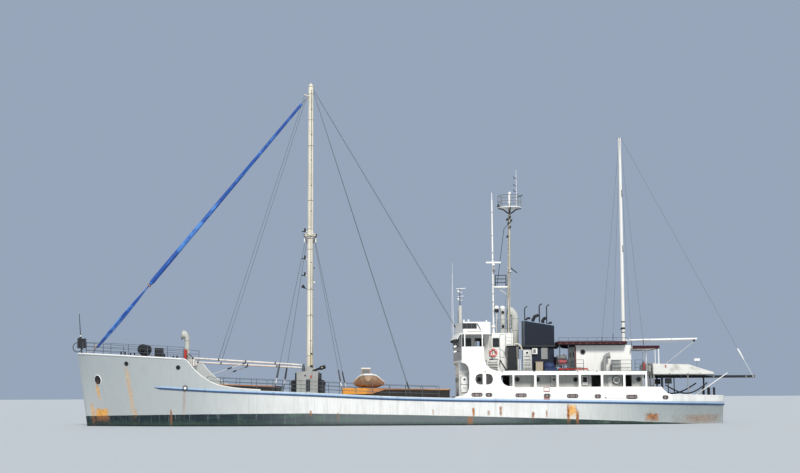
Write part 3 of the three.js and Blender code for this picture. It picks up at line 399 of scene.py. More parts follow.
def surface(bm, columns, rows, place, index=0):
    """A grid whose point in each column and row goes to its place."""
    verts = bmesh.ops.create_grid(bm, x_segments=columns - 1, y_segments=rows - 1, size=0.5)["verts"]
    for vert in verts:
        i = round((vert.co.x + 0.5) * (columns - 1))
        j = round((vert.co.y + 0.5) * (rows - 1))
        vert.co = place(i, j)
    faced(verts, index)
    return verts


def mirror(bm, merge=0.0004):
    """Doubles the mesh across the centreline and closes the seam."""
    geometry = bm.verts[:] + bm.edges[:] + bm.faces[:]
    bmesh.ops.mirror(bm, geom=geometry, axis="Y", merge_dist=merge)
    bmesh.ops.remove_doubles(bm, verts=bm.verts, dist=merge)

# Hull of welded steel plate on frames, with a raked stem, a flared bow and a round counter
# stern. The plates' seams and the dents between the frames show in the paint. It is white, with
# dark boot-topping that grows weed above the waterline and red antifouling below it.
# Columns: x, deck height, half-breadth at the deck and on the waterline, draught, fullness, lean
HULL_LINES = (
    (-14.392, 2.113, 0.0, 0.0, 0.28, 1.0, -0.158),
    (-14.35, 2.11, 0.0555, 0.05, 0.3, 1.0, -0.158),
    (-13.95, 2.06, 0.4002, 0.21, 0.56, 1.05, -0.15),
    (-13.3, 2.0, 0.7891, 0.48, 0.68, 1.1, -0.13),
    (-12.4, 1.93, 1.2145, 0.88, 0.71, 1.3, -0.09),
    (-11.25, 1.84, 1.6299, 1.35, 0.735, 1.7, -0.04),
    (-10.4, 1.785, 1.8711, 1.65, 0.76, 2.2, 0.0),
    (-9.741, 1.74, 1.9918, 1.822, 0.774, 2.5, 0.0),
    (-8.25, 1.65, 2.215, 2.12, 0.81, 3.4, 0.0),
    (-6.2, 1.555, 2.335, 2.29, 0.865, 5.0, 0.0),
    (-3.5, 1.432, 2.35, 2.345, 0.935, 7.0, 0.0),
    (-0.44, 1.28, 2.35, 2.35, 1.015, 7.0, 0.0),
    (2.0, 1.205, 2.35, 2.35, 1.08, 7.0, 0.0),
    (5.5, 1.14, 2.35, 2.35, 1.17, 7.0, 0.0),
    (8.85, 1.08, 2.35, 2.34, 1.256, 5.0, 0.0),
    (10.9, 1.039, 2.35, 2.22, 1.307, 2.6, 0.0),
    (11.7, 1.022, 2.305, 2.04, 1.33, 1.6, 0.0),
    (12.5, 1.006, 2.185, 1.76, 1.35, 1.0, 0.0),
    (13.08, 0.994, 2.01, 1.5, 1.366, 0.62, 0.0),
    (13.082, 0.994, 2.009, 1.499, 0.42, 2.0, 0.0),
    (13.8, 0.98, 1.7, 1.17, 0.33, 2.0, 0.0),
    (14.3, 0.969, 1.3, 0.76, 0.24, 2.0, 0.0),
    (14.6, 0.963, 0.85, 0.43, 0.16, 2.0, 0.0),
    (14.73, 0.96, 0.4, 0.17, 0.09, 2.0, 0.0),
    (14.76, 0.96, 0.0, 0.0, 0.05, 2.0, 0.0),
)
FLARE = 1.3
BREAK = -9.741


def smoothed(rows, spacing):
    """The rows with more between them, on curves that never overshoot."""
    gaps = [max(math.dist(a[:3], b[:3]), 1e-4) for a, b in zip(rows, rows[1:])]
    rises = [[(q - p) / gap for p, q in zip(a, b)] for a, b, gap in zip(rows, rows[1:], gaps)]
    slopes = [rises[0]]
    for before, after, h, k in zip(rises, rises[1:], gaps, gaps[1:]):
        slopes.append([
            0 if p * q <= 0 else 3 * (h + k) / ((2 * k + h) / p + (k + 2 * h) / q)
            for p, q in zip(before, after)
        ])
    slopes.append(rises[-1])
    found = []
    for i, gap in enumerate(gaps):
        parts = max(1, round(gap / spacing))
        for part in range(parts):
            t = part / parts
            found.append([
                p * (1 + 2 * t) * (1 - t) ** 2 + q * t * t * (3 - 2 * t)
                + gap * (m * t * (1 - t) ** 2 - n * t * t * (1 - t))
                for p, q, m, n in zip(rows[i], rows[i + 1], slopes[i], slopes[i + 1])
            ])
    return found + [list(rows[-1])]


stations = smoothed(HULL_LINES, 0.14)


def station(x):
    """The hull's lines at any place along it."""
    after = next((i for i, row in enumerate(stations) if row[0] >= x), len(stations) - 1)
    a, b = stations[max(after - 1, 0)], stations[after]
    t = 0 if b[0] == a[0] else (x - a[0]) / (b[0] - a[0])
    return [p + t * (q - p) for p, q in zip(a, b)]


def breadth(line, z):
    """The hull's half-breadth at a height above the waterline."""
    return line[3] + (line[2] - line[3]) * (z / line[1]) ** FLARE


def full_height(x):
    """The height of the forecastle's deck at a station."""
    return 2.982 + 0.074 * (-9.74 - x)


SIDE_LEVELS = 10
BOTTOM_LEVELS = 10


def side_point(i, j):
    """From the deck's edge down the side and under the bottom to the keel."""
    line = stations[i]
    x, deck, _, water, draught, fullness, lean = line
    if j <= SIDE_LEVELS:
        z = deck * (1 - j / SIDE_LEVELS)
        return Vector((x + lean * z, -breadth(line, z), z))
    turn = (j - SIDE_LEVELS) / BOTTOM_LEVELS * math.pi / 2
    z = -draught * math.sin(turn) ** (2 / fullness)
    y = 0 if j == SIDE_LEVELS + BOTTOM_LEVELS else -water * math.cos(turn) ** (2 / fullness)
    return Vector((x + lean * z, y, z))


def deck_point(i, j):
    """Across the main deck from the centreline to its port edge."""
    x, deck, edge, *_, lean = stations[i]
    return Vector((x + lean * deck, -edge * j, deck))


# Rust on the port side, as seen in the photograph. Columns: x and height of the top, x and
# height of the foot, half width, strength
RUST_RUNS = (
    (-13.86, 1.86, -13.72, 1.22, 0.09, 0.75),
    (-14.14, 1.00, -14.06, 0.10, 0.09, 0.7),
    (-13.64, 0.78, -13.60, 0.24, 0.42, 1.0),
    (-12.34, 2.56, -12.02, 0.42, 0.13, 0.4),
    (-11.94, 0.74, -11.94, 0.42, 0.07, 0.6),
    (-10.25, 0.74, -10.22, 0.05, 0.06, 0.85),
    (-9.62, 1.56, -9.66, 0.52, 0.08, 0.3),
    (-3.98, 0.66, -3.98, 0.44, 0.07, 0.8),
    (-2.78, 0.58, -2.78, 0.20, 0.05, 0.6),
    (1.42, 0.69, 1.42, 0.45, 0.05, 0.5),
    (3.19, 0.74, 3.20, 0.36, 0.07, 1.0),
    (3.04, 0.36, 3.04, 0.04, 0.15, 0.9),
    (3.87, 0.64, 3.87, 0.42, 0.06, 0.7),
    (4.40, 0.84, 4.40, 0.40, 0.07, 0.85),
    (5.83, 0.56, 5.83, 0.28, 0.07, 0.9),
    (6.43, 0.62, 6.43, 0.30, 0.05, 0.8),
    (7.54, 0.84, 7.54, 0.36, 0.27, 0.95),
    (7.38, 0.84, 7.40, 0.10, 0.09, 1.0),
    (7.78, 0.60, 7.78, 0.02, 0.09, 1.0),
    (11.10, 0.46, 11.10, 0.14, 0.36, 0.9),
    (13.45, 0.40, 13.45, 0.02, 1.1, 0.4),
)
run_mask = bpy.data.node_groups.new("rust run", "ShaderNodeTree")
for name in ("X", "Top", "Slant", "Length", "Half width", "Across", "Up", "Ragged"):
    run_mask.interface.new_socket(name, in_out="INPUT", socket_type="NodeSocketFloat")
run_mask.interface.new_socket("Mask", in_out="OUTPUT", socket_type="NodeSocketFloat")
given = put(run_mask, "NodeGroupInput").outputs
down = maths("DIVIDE", minus(given["Top"], given["Up"]), given["Length"])
middle = plus(given["X"], times(down, given["Slant"]))
off = maths("ABSOLUTE", minus(given["Across"], middle))
off = maths("DIVIDE", off, given["Half width"])
off = plus(off, times(given["Ragged"], 1.8))
sides = step(off, 0.45, 1.05, 1.0, 0.0)
ragged_end = plus(down, times(given["Ragged"], 0.9))
begun = step(ragged_end, -0.12, 0.12)
ends = times(begun, step(ragged_end, 0.6, 1.25, 1.0, 0.0))
put(run_mask, "NodeGroupOutput", {"Mask": times(sides, ends)})


def runs_of_rust(place, table, side):
    """The strongest of the runs at each point of one side."""
    x, y, z = axes(place)
    ragged = minus(noisy(stretched(place, (11, 11, 7)), 1.0, 6.0, 0.7), 0.5)
    whole = 0.0
    for x0, z0, x1, z1, half, strength in table:
        run = put(place.id_data, "ShaderNodeGroup", node_tree=run_mask)
        values = {"X": x0, "Top": z0, "Slant": x1 - x0, "Length": z0 - z1, "Half width": half}
        for key, value in values.items():
            run.inputs[key].default_value = value
        for key, value in (("Across", x), ("Up", z), ("Ragged", ragged)):
            joined(run, key, value)
        whole = maths("MAXIMUM", whole, times(run.outputs[0], strength))
    port = maths("LESS_THAN", times(y, side), 0.0)
    return times(whole, port)


HULL_WHITE = (0.77, 0.78, 0.77)
hull_paint, shader, place = plain("hull paint", HULL_WHITE)
x, y, z = axes(place)
coat = coated(shader.id_data, HULL_WHITE, 0.25, 0.35, 0.05)
ragged = minus(noisy(place, 2.2, 6.0, 0.65), 0.5)
drips = noisy(stretched(place, (14, 14, 0.8)), 1.0, 4.0, 0.6)

# The whole side greys towards the stern, and low down where the water washes it
aft = times(step(x, 5.5, 11.5), step(z, 0.93, 1.02, 1.0, 0.12))
greyed = tint(times(aft, 0.85), coat["Color"], (0.27, 0.315, 0.325))
# Painted shade: the side greys towards the bow, most forward of x -10 and fading out by x -3, for the flare
# that faces forward and down
greyed = tint(step(x, -10.0, -3.0, 0.85, 0.0), greyed, (0.36, 0.40, 0.415))
washed = times(step(drips, 0.42, 0.70), step(z, 0.45, 1.5, 0.36, 0.07))
greyed = tint(washed, greyed, (0.46, 0.47, 0.44))
clouds = times(step(noisy(place, 1.3, 6.0, 0.7), 0.48, 0.72), aft)
greyed = tint(times(clouds, step(z, 0.2, 0.9, 0.8, 0.2)), greyed, (0.25, 0.26, 0.21))
rusty = runs_of_rust(place, RUST_RUNS, 1)
mirrored = stretched(place, (-1.0, 1.0, 1.0))
far_rusty = runs_of_rust(mirrored, RUST_RUNS[1:6] + RUST_RUNS[12:16], -1)
rusty = maths("MAXIMUM", rusty, times(far_rusty, 0.8))
shade = step(noisy(place, 9.0, 5.0, 0.7), 0.40, 0.62)
rust_tone = tint(shade, (0.46, 0.19, 0.06), (0.17, 0.065, 0.03))
ochre_tone = tint(shade, (0.80, 0.46, 0.13), (0.60, 0.27, 0.06))
patch = maths("ABSOLUTE", minus(x, 7.57))
at_bow = step(x, -11.9, -11.6, 0.95, 0.0)
yellow = maths("MAXIMUM", at_bow, step(patch, 0.10, 0.18, 1.0, 0.0))
rust_tone = tint(yellow, rust_tone, ochre_tone)
topsides = tint(rusty, greyed, rust_tone)

# Boot-topping up to a line that rises amidships, with weed and salt on it
from_mast = plus(x, 4.4)
sag = times(times(from_mast, from_mast), 0.00094)
fall = times(maths("MAXIMUM", from_mast, 0.0), 0.01432)
line = minus(minus(0.55, sag), fall)
line = plus(line, times(ragged, 0.03))
below = step(minus(line, z), -0.006, 0.010)
weed = plus(step(z, 0.02, 0.50, 0.66, 0.0), times(ragged, 0.75))
topping = tint(step(weed, 0.30, 0.75, 0.0, 0.45), (0.013, 0.026, 0.033), (0.045, 0.085, 0.060))
amidships = times(step(x, -8.0, -1.0), step(x, 3.5, 7.5, 1.0, 0.0))
faded = times(amidships, step(z, 0.03, 0.22, 0.3, 0.85))
topping = tint(faded, topping, (0.150, 0.175, 0.185))
salt = times(step(drips, 0.52, 0.74), step(z, 0.04, 0.42, 0.1, 0.4))
topping = tint(salt, topping, (0.24, 0.28, 0.28))
moss = step(noisy(stretched(place, (0.9, 0.9, 5.0)), 1.0, 6.0, 0.7), 0.50, 0.66)
topping = tint(times(moss, step(x, -9.0, -3.0, 0.15, 0.6)), topping, (0.11, 0.19, 0.135))
topping = tint(step(z, 0.015, 0.085, 1.0, 0.0), topping, (0.012, 0.017, 0.018))
slimy = step(noisy(place, 3.0, 6.0, 0.7), 0.35, 0.65)
fouling = tint(slimy, (0.16, 0.035, 0.025), (0.10, 0.07, 0.045))
topping = tint(step(z, -0.02, 0.0, 1.0, 0.0), topping, fouling)
topping = tint(times(rusty, 0.8), topping, (0.30, 0.13, 0.05))
joined(shader, "Base Color", tint(below, topsides, topping))
rough = plus(coat["Roughness"], times(maths("MAXIMUM", rusty, below), 0.22))
joined(shader, "Roughness", rough)
shader.inputs["Specular IOR Level"].default_value = 0.22

# Seams of the plates, and the hollows between the frames
across = put(shader.id_data, "ShaderNodeCombineXYZ", {0: x, 1: z}).outputs[0]
seams = put(shader.id_data, "ShaderNodeTexBrick", {
    "Vector": across, "Scale": 1.0, "Mortar Size": 0.006, "Mortar Smooth": 1.0,
    "Brick Width": 2.3, "Row Height": 0.46,
}).outputs["Fac"]
hollow = maths("ABSOLUTE", maths("SINE", times(x, math.pi / 0.31)))
hollow = times(hollow, plus(ragged, 0.5))
height = plus(times(seams, 0.35), times(hollow, -0.55))
height = plus(height, times(rusty, -0.3))
bumped(shader, plus(height, times(coat["Height"], 0.4)), 0.012, 0.45)

deck_paint = paint("deck paint", (0.085, 0.125, 0.105), 0.6, 0.1, 0.4)
white = paint("white paint", (0.80, 0.80, 0.78), 0.14, 0.20, 0.05)

bm = bmesh.new()
surface(bm, len(stations), SIDE_LEVELS + BOTTOM_LEVELS + 1, side_point)
surface(bm, len(stations), 2, deck_point, 1)
mirror(bm)
piece("hull_shell", bm, [hull_paint, deck_paint], replaces="hull")

# Rubbing strake, a half-round steel fender welded along the side below the deck. Its blue is lighter
# above as a painted highlight and darker below as painted shade, and it fades out at the bow. A ring
# fitting sits on it near the break
STRAKE_FROM = -11.0
STRAKE_SECTION = ((-0.03, 0.078), (0.028, 0.068), (0.045, 0.036), (0.045, 0.004),
                  (0.045, -0.004), (0.045, -0.036), (0.028, -0.068), (-0.03, -0.078))
strake_highlight_blue = paint("strake blue with painted highlight", (0.36, 0.50, 0.68), 0.2, 0.3, 0.12)
strake_shade_blue = paint("strake blue with painted shade", (0.06, 0.112, 0.225), 0.2, 0.3, 0.12)
along = [row[0] for row in stations if STRAKE_FROM + 0.08 < row[0] < 14.755]
along = [STRAKE_FROM, STRAKE_FROM + 0.04] + along + [14.757]


def strake_point(i, j):
    line = station(along[i])
    out, rise = STRAKE_SECTION[j]
    grow = min(0.15 + max(along[i] - STRAKE_FROM, 0) * 3.4, 1)
    z = line[1] - 0.095 + rise * grow
    flat = station(along[i] + 0.01)[2] - station(along[i] - 0.01)[2]
    lean = math.atan2(-flat, 0.02)
    out = out * grow
    y = max(breadth(line, z) + out * math.cos(lean), 0)
    return Vector((min(along[i] + line[6] * z + out * math.sin(lean), 14.79), -y, z))


def lower_strake_point(i, j):
    return strake_point(i, j + 3)


bm = bmesh.new()
# The upper half of the section takes the lighter blue as a painted highlight, the lower half the darker
# blue as painted shade
surface(bm, len(along), 4, strake_point, 0)
surface(bm, len(along), 5, lower_strake_point, 1)
mirror(bm)
piece("rubbing_strakes", bm, [strake_highlight_blue, strake_shade_blue], crease=50)

bm = bmesh.new()
for side in SIDES:
    out = breadth(station(-9.52), 1.65) + 0.045
    hoop(bm, (-9.58, side * (out + 0.01), 1.69), ACROSS, 0.085, 0.026, 1)
    drum(bm, (-9.58, side * (out - 0.06), 1.69), (-9.58, side * (out + 0.02), 1.69), 0.07)
black = paint("black paint", (0.022, 0.025, 0.03), 0.1, 0.1, 0.25)
piece("strake_rings", bm, [white, black])

# Forecastle raised on the bow, of the same plate, with a rounded gunwale and its own deck. The
# bulkhead at its break closes it off from the well
fore = [row for row in stations if row[0] <= BREAK + 1e-6]
FORE_LEVELS = 9


def fore_side(i, j):
    line = fore[i]
    z = line[1] + (full_height(line[0]) - line[1]) * j / FORE_LEVELS
    return Vector((line[0] + line[6] * z, -breadth(line, z), z))


def fore_deck(i, j):
    edge = fore_side(i, FORE_LEVELS)
    return Vector((edge.x, edge.y * j / 4, edge.z + 0.05 * (1 - (j / 4) ** 2) * abs(edge.y) / 2))


def bulkhead(i, j):
    edge = fore_side(len(fore) - 1, j)
    return Vector((edge.x, edge.y * i / 6, edge.z))


bm = bmesh.new()
surface(bm, len(fore), FORE_LEVELS + 1, fore_side)
surface(bm, 7, FORE_LEVELS + 1, bulkhead)
surface(bm, len(fore), 5, fore_deck, 1)
mirror(bm)
piece("forecastle_shell", bm, [hull_paint, deck_paint], replaces="forecastle")

bm = bmesh.new()
for side in SIDES:
    edge = [fore_side(i, FORE_LEVELS) for i in range(1, len(fore))]
    sweep(bm, [(p.x, side * p.y, p.z - 0.012) for p in edge], 0.034, 10)
break_edge = fore_side(len(fore) - 1, FORE_LEVELS)
sweep(bm, [(break_edge.x, y * break_edge.y / 6, break_edge.z + 0.004) for y in range(-6, 7)], 0.02, 8)
gunwale_white = paint("gunwale paint", (0.88, 0.88, 0.86), 0.1, 0.1, 0.03)
piece("forecastle_gunwale", bm, [gunwale_white])

# Portholes in the forecastle's side, with welded rims
glass, shader, place = plain("dark glass", (0.012, 0.016, 0.02), 0.06)
shader.inputs["Specular IOR Level"].default_value = 0.3


def porthole(bm, centre, facing, radius=0.1):
    """A round window: its rim and its glass. Indices: rim 0, glass 1."""
    centre, facing = Vector(centre), Vector(facing).normalized()
    hoop(bm, centre + facing * 0.006, facing, radius, 0.018, 0, 24, 6)
    drum(bm, centre - facing * 0.03, centre + facing * 0.004, radius, index=1)


def on_side(x, z, side, out=0.0):
    """A place on the forecastle's or hull's side, and the way it faces."""
    line = station(x)
    near = station(x + 0.02)
    point = Vector((x + line[6] * z, side * breadth(line, z), z))
    forward = Vector((near[0] + near[6] * z, side * breadth(near, z), z)) - point
    upward = Vector((x + line[6] * (z + 0.02), side * breadth(line, z + 0.02), z + 0.02)) - point
    facing = forward.cross(upward).normalized()
    facing = facing if facing.y * side > 0 else -facing
    return point + facing * out, facing


def station_for(x, z):
    """The station whose leaning side passes a place."""
    return x - station(x)[6] * z


bm = bmesh.new()
for side in SIDES:
    for x, z in ((-12.355, 2.795), (-9.90, 2.60)):
        porthole(bm, *on_side(station_for(x, z), z, side), 0.085)
piece("forecastle_portholes", bm, [black, glass])

# Hawse pipes, cast lips round dark oval holes
bm = bmesh.new()
for side in SIDES:
    lip, facing = on_side(station_for(-13.80, 2.09), 2.09, side)
    # The white outer ring round each lip is a painted highlight, and the black disc in each hole is painted
    # shade
    hoop(bm, lip + facing * 0.004, facing, 0.180, 0.022, 0, 32, 8, (1.0, 1.2))
    hoop(bm, lip + facing * 0.010, facing, 0.152, 0.026, 1, 32, 8, (1.0, 1.22))
    drum(bm, lip - facing * 0.05, lip + facing * 0.012, 0.152, index=1)
    hoop(bm, lip + facing * 0.012 - UP * 0.10, facing, 0.05, 0.02, 2, 20, 6)
rusted = paint("rusted steel", (0.13, 0.065, 0.035), 0.5, 0.3, 0.9)
piece("hawse_pipes", bm, [white, black, rusted])

# Fashion plates that sweep from the forecastle down into the well, plate 40 mm thick here with
# a half-round bar along the edge
FASHION = (
    (-9.74, 2.982), (-9.66, 2.978), (-9.59, 2.955), (-9.455, 2.84), (-9.229, 2.574), (-8.958, 2.307),
    (-8.645, 2.085), (-8.25, 1.87), (-7.754, 1.745), (-7.088, 1.652), (-6.2, 1.59),
)
fashion = smoothed([(x, top, 0.0) for x, top in FASHION], 0.07)
PLATE = 0.04


def fashion_point(i, j):
    x, top, _ = fashion[i]
    line = station(x)
    level = (0, 1, 2, 3, 3, 2, 1, 0)[j] / 3
    z = line[1] + level * (top - line[1])
    return Vector((x, -breadth(line, z) + (PLATE if j > 3 else 0), z))


bm = bmesh.new()
surface(bm, len(fashion), 8, fashion_point)
mirror(bm)
piece("fashion_plates", bm, [hull_paint],
      replaces=("fashion_plate_port", "fashion_plate_starboard"))
bm = bmesh.new()
for side in SIDES:
    edge = [fashion_point(i, 3) for i in range(len(fashion))]
    sweep(bm, [(p.x, side * (p.y + 0.012), p.z) for p in edge], 0.024, 8)
piece("fashion_plate_edges", bm, [white])

# Bulwark round the stern, with a flat rail on top
bulwark = [row for row in stations if row[0] > 12.03]
bulwark = [station(12.026)] + bulwark


def bulwark_point(i, j):
    line = bulwark[i]
    top = 1.283 - (line[0] - 12.025) * 0.024
    z = line[1] + (0, 0.5, 1, 1, 0)[j] * (top - line[1])
    edge = Vector((line[0], -line[2], z))
    inward = Vector((12.4 - line[0], line[2], 0))
    inward = inward.normalized() if line[0] > 13 else Vector((0, 1, 0))
    inward.y = abs(inward.y)
    moved = edge + inward * (PLATE if j > 2 else 0)
    return Vector((moved.x, min(moved.y, 0), moved.z))


bm = bmesh.new()
surface(bm, len(bulwark), 5, bulwark_point)
mirror(bm)
piece("stern_bulwark", bm, [hull_paint],
      replaces=("stern_bulwark_port", "stern_bulwark_starboard"))
bm = bmesh.new()
top_edge = [bulwark_point(i, 2) for i in range(len(bulwark))]
top_edge += [Vector((p.x, -p.y, p.z)) for p in reversed(top_edge[:-1])]
sweep(bm, [(p.x - 0.012, p.y * 0.995, p.z) for p in top_edge], 0.028, 8)
piece("stern_rail_cap", bm, [white])

# Bitts, pairs of hollow posts with flanged heads on a base plate
BITTS = [(-12.6, 0.42), (-10.7, 0.42), (12.5, 0.32), (13.7, 0.32)]
bm = bmesh.new()
for x, inset in BITTS:
    line = station(x)
    z = full_height(x - line[6] * 2.982) if x < BREAK else line[1]
    y = breadth(line, full_height(x)) if x < BREAK else line[2]
    for side in SIDES:
        mid = side * (y - inset)
        block(bm, (x - 0.15, mid - 0.06, z - 0.06), (x + 0.15, mid + 0.06, z + 0.025))
        for dx in (-0.09, 0.09):
            drum(bm, (x + dx, mid, z), (x + dx, mid, z + 0.172), 0.034)
            drum(bm, (x + dx, mid, z + 0.165), (x + dx, mid, z + 0.19), 0.044, 0.038)
piece("mooring_bitts", bm, [black], eased=0.004)

# The shelf on the bulkhead that the derrick booms rest on, a plate bracket with two crutches
def dress(node, materials, eased=0.006, crease=32):
    """A node's own shape with its doubles merged, its edges eased and its finish."""
    bm = bmesh.new()
    bm.from_mesh(frame["nodes"][node].data)
    bmesh.ops.remove_doubles(bm, verts=bm.verts, dist=0.0001)
    bmesh.ops.dissolve_limit(bm, angle_limit=math.radians(1), verts=bm.verts, edges=bm.edges)
    for face in bm.faces:
        face.material_index = 0
    body = frame["nodes"][node]["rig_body"]
    return piece(f"{node}_finished", bm, materials, body, node, crease, eased)


dress("boom_rest", [white])

# Open rails of galvanised pipe painted grey, with three bars through posts on welded feet, round
# the forecastle and along both sides of the well
rail_grey = paint("rail paint", (0.085, 0.105, 0.13), 0.2, 0.1, 0.3)
RAIL_HEIGHT = 0.52
RAIL_BARS = (0.17, 0.34, 0.51)
RAIL_FEET = (-14.1, -13.5, -12.75, -12.0, -11.2, -10.4, -9.65)


def railing(bm, feet, index=0):
    """Posts on their feet, and bars from post to post."""
    feet = [Vector(foot) for foot in feet]
    for foot in feet:
        drum(bm, foot, foot + UP * RAIL_HEIGHT, 0.014, 0.012, 10, index)
        drum(bm, foot, foot + UP * 0.014, 0.032, 0.032, 10, index)
    for z in RAIL_BARS:
        sweep(bm, [foot + UP * z for foot in feet], 0.009, 8, index)


def fore_foot(x, side):
    line = station(x)
    z = full_height(x)
    return Vector((x + line[6] * z, side * (breadth(line, z) - 0.05), z))


def well_foot(x, side):
    line = station(x)
    return Vector((x, side * (line[2] - 0.08), line[1]))


WELL_FEET = [-8.6 + 0.735 * i for i in range(15)]
for where, foot_at, feet in (("forecastle", fore_foot, RAIL_FEET), ("well", well_foot, WELL_FEET)):
    bm = bmesh.new()
    for side in SIDES:
        railing(bm, [foot_at(x, side) for x in feet])
    piece(f"{where}_rails", bm, [rail_grey],
          replaces=(f"{where}_rail_port", f"{where}_rail_starboard"))

# Anchor windlass, with a cast bed, plate side frames, two gypsy wheels on one shaft, brake bands
# and the motor's box. It is painted black, with bare steel where the chain runs
dress("windlass", [black], 0.008)
bare = plain("bare steel", (0.30, 0.29, 0.28), 0.38, 0.9)[0]
SHAFT_X, SHAFT_Z = -11.83, 3.47
BRAKE_X = -11.62
bm = bmesh.new()
for side in SIDES:
    for edge in (-0.07, 0.07):
        hoop(bm, (SHAFT_X, side * 0.36 + edge, SHAFT_Z), ACROSS, 0.235, 0.012, 0, 28)
    hub = Vector((SHAFT_X, side * 0.285, SHAFT_Z))
    for along, rise in spokes(8):
        out = Vector((along, 0, rise))
        drum(bm, hub + out * 0.07, hub + out * 0.22, 0.014, 0.011, 8)
    for y0, y1 in ((0.62, 0.59), (0.50, 0.47)):
        drum(bm, (SHAFT_X, side * y0, SHAFT_Z), (SHAFT_X, side * y1, SHAFT_Z), 0.085)
    drum(bm, (BRAKE_X, side * 0.16, 3.20), (BRAKE_X, side * 0.16, 3.62), 0.012, facets=10)
    hoop(bm, (BRAKE_X, side * 0.16, 3.63), (0.3, 0, 1), 0.07, 0.008, 0, 20, 6)
    for x in (-12.05, -11.4, -11.05):
        bolt = Vector((x, side * 0.5, full_height(x) + 0.06))
        drum(bm, bolt - UP * 0.01, bolt + UP * 0.022, 0.022, facets=6)
piece("windlass_fittings", bm, [black, bare], crease=40)

# Jackstaff above the stem, with the bow light's box on a shelf, a lamp and a ring guard
dress("jackstaff", [black], 0.006)
lamp_glass = plain("lamp glass", (0.72, 0.72, 0.66), 0.12)[0]
bm = bmesh.new()
stack(bm, -14.80, 0, (
    (4.03, 4.09, 0.05, 0.05, 0), (4.09, 4.17, 0.042, 0.042, 1), (4.17, 4.21, 0.05, 0.015, 0),
), 24)
block(bm, (-14.93, -0.04, 3.99), (-14.78, 0.04, 4.03))
for y in (-0.112, 0.112):
    block(bm, (-14.88, y - 0.006, 3.62), (-14.60, y + 0.006, 3.94))
ball(bm, (-14.89, 0, 5.12), 0.02)
piece("bow_light", bm, [black, lamp_glass])

# Stocked bower anchor in its hawse pipe, a steel casting gone rusty at the flukes
dress("anchor_starboard", [rusted], 0.006)

# Two hatches. Each has a plate coaming with upright stiffeners and a flanged edge, and boards on
# it that are battened down under heavy oiled canvas, orange where it is new and tan where it isn't
BOARD = 0.61
canvas, shader, place = plain("hatch canvas", (0.6, 0.3, 0.1), 0.85)
x, y, z = axes(place)
board = maths("FLOOR", maths("DIVIDE", x, BOARD))
lot = put(shader.id_data, "ShaderNodeTexWhiteNoise", {"W": board}, noise_dimensions="1D").outputs["Value"]
rumpled = noisy(place, 4.2, 5.0, 0.62)
worn = step(rumpled, 0.40, 0.66)
aged = tint(lot, (0.54, 0.22, 0.075), (0.60, 0.36, 0.17))
fresh = step(plus(x, times(rumpled, 0.5)), -1.35, -1.15, 1.0, 0.0)
after = maths("GREATER_THAN", x, -3.0)
shade = tint(times(fresh, after), aged, (0.80, 0.35, 0.055))
forward = maths("LESS_THAN", x, -4.0)
shade = tint(times(forward, 0.7), shade, (0.36, 0.145, 0.07))
shade = tint(times(worn, 0.4), shade, (0.30, 0.20, 0.12))
joined(shader, "Base Color", shade)
weave = noisy(place, 95.0, 2.0)
bumped(shader, plus(times(rumpled, 0.8), times(weave, 0.06)), 0.02, 0.6)
coaming_paint = paint("coaming paint", (0.035, 0.032, 0.03), 0.3, 0.3, 0.55)
COVER_LAP = 0.035
COVER_THICK = 0.07
COVER_EASE = 0.012
STAY_PITCH = 0.62


def hatch(node, x0, x1, half, top0, top1):
    """Boards under their canvas, and the coaming with its stays and battens."""
    boards = round((x1 - x0) / BOARD)
    pitch = (x1 - x0 + 2 * COVER_LAP) / boards
    reach = half + COVER_LAP

    def top_at(x):
        return top0 + (x - x0) / (x1 - x0) * (top1 - top0)

    def cover_point(i, j):
        x = x0 - COVER_LAP + pitch * i / 6
        dip = 0.006 if i % 6 == 0 and j > 1 else 0
        y = -reach if j < 2 else -(reach - COVER_EASE) * (8 - j) / 6
        return Vector((x, y, top_at(x) - (COVER_THICK, COVER_EASE, 0.0)[min(j, 2)] - dip))

    bm = bmesh.new()
    surface(bm, boards * 6 + 1, 9, cover_point)
    mirror(bm)
    bmesh.ops.holes_fill(bm, edges=[edge for edge in bm.edges if edge.is_boundary], sides=0)
    piece(f"{node}_cover", bm, [canvas], replaces=node, crease=50)
    bm = bmesh.new()
    for vert in block(bm, (x0, -half, 0), (x1, half, 1)):
        at = vert.co.x
        vert.co.z = top_at(at) - 0.01 if vert.co.z > 0.5 else station(at)[1] - 0.1
    stays = int((x1 - x0) / STAY_PITCH)
    for side in SIDES:
        for i in range(stays + 1):
            x = x0 + 0.04 + (x1 - x0 - 0.08) * i / stays
            post(bm, x, side * (half + 0.016), station(x)[1] - 0.03, top_at(x) - 0.10, 0.012, 0.02)
        y = side * (reach + 0.006)
        for i in range(boards):
            x = x0 + (x1 - x0) * (i + 0.5) / boards
            post(bm, x, y, top_at(x) - 0.10, top_at(x) - 0.045, 0.02, 0.012, 1)
        sweep(bm, [(x, y, top_at(x) - 0.05) for x in (x0, x1)], 0.008, 8, 1)
    piece(f"{node}_coaming", bm, [coaming_paint, rusted], eased=0.003)


hatch("hatch_1", -8.85, -5.6, 1.3, 1.9, 1.775)
hatch("hatch_2", -2.6, 2.2, 1.3, 1.665, 1.6)

# The new orange canvas hangs over the coaming at the after hatch's forward end, in loose folds
FOLD_PITCH = 0.08
FOLD_WIDE = 0.083
bm = bmesh.new()
for side in SIDES:
    for i in range(24):
        x = -2.64 + i * FOLD_PITCH
        foot = 1.385 + max(i - 16, 0) * 0.026
        out = side * (1.356 + 0.006 * math.sin(2.3 * i))
        block(bm, (x, out - 0.008, foot), (x + FOLD_WIDE, out + 0.008, 1.655))
for i in range(33):
    y = -1.32 + i * FOLD_PITCH
    out = -2.652 - 0.006 * math.sin(1.9 * i)
    block(bm, (out - 0.008, y, 1.40 + 0.02 * math.sin(i)), (out + 0.008, y + FOLD_WIDE, 1.66))
piece("hatch_2_drape", bm, [canvas])

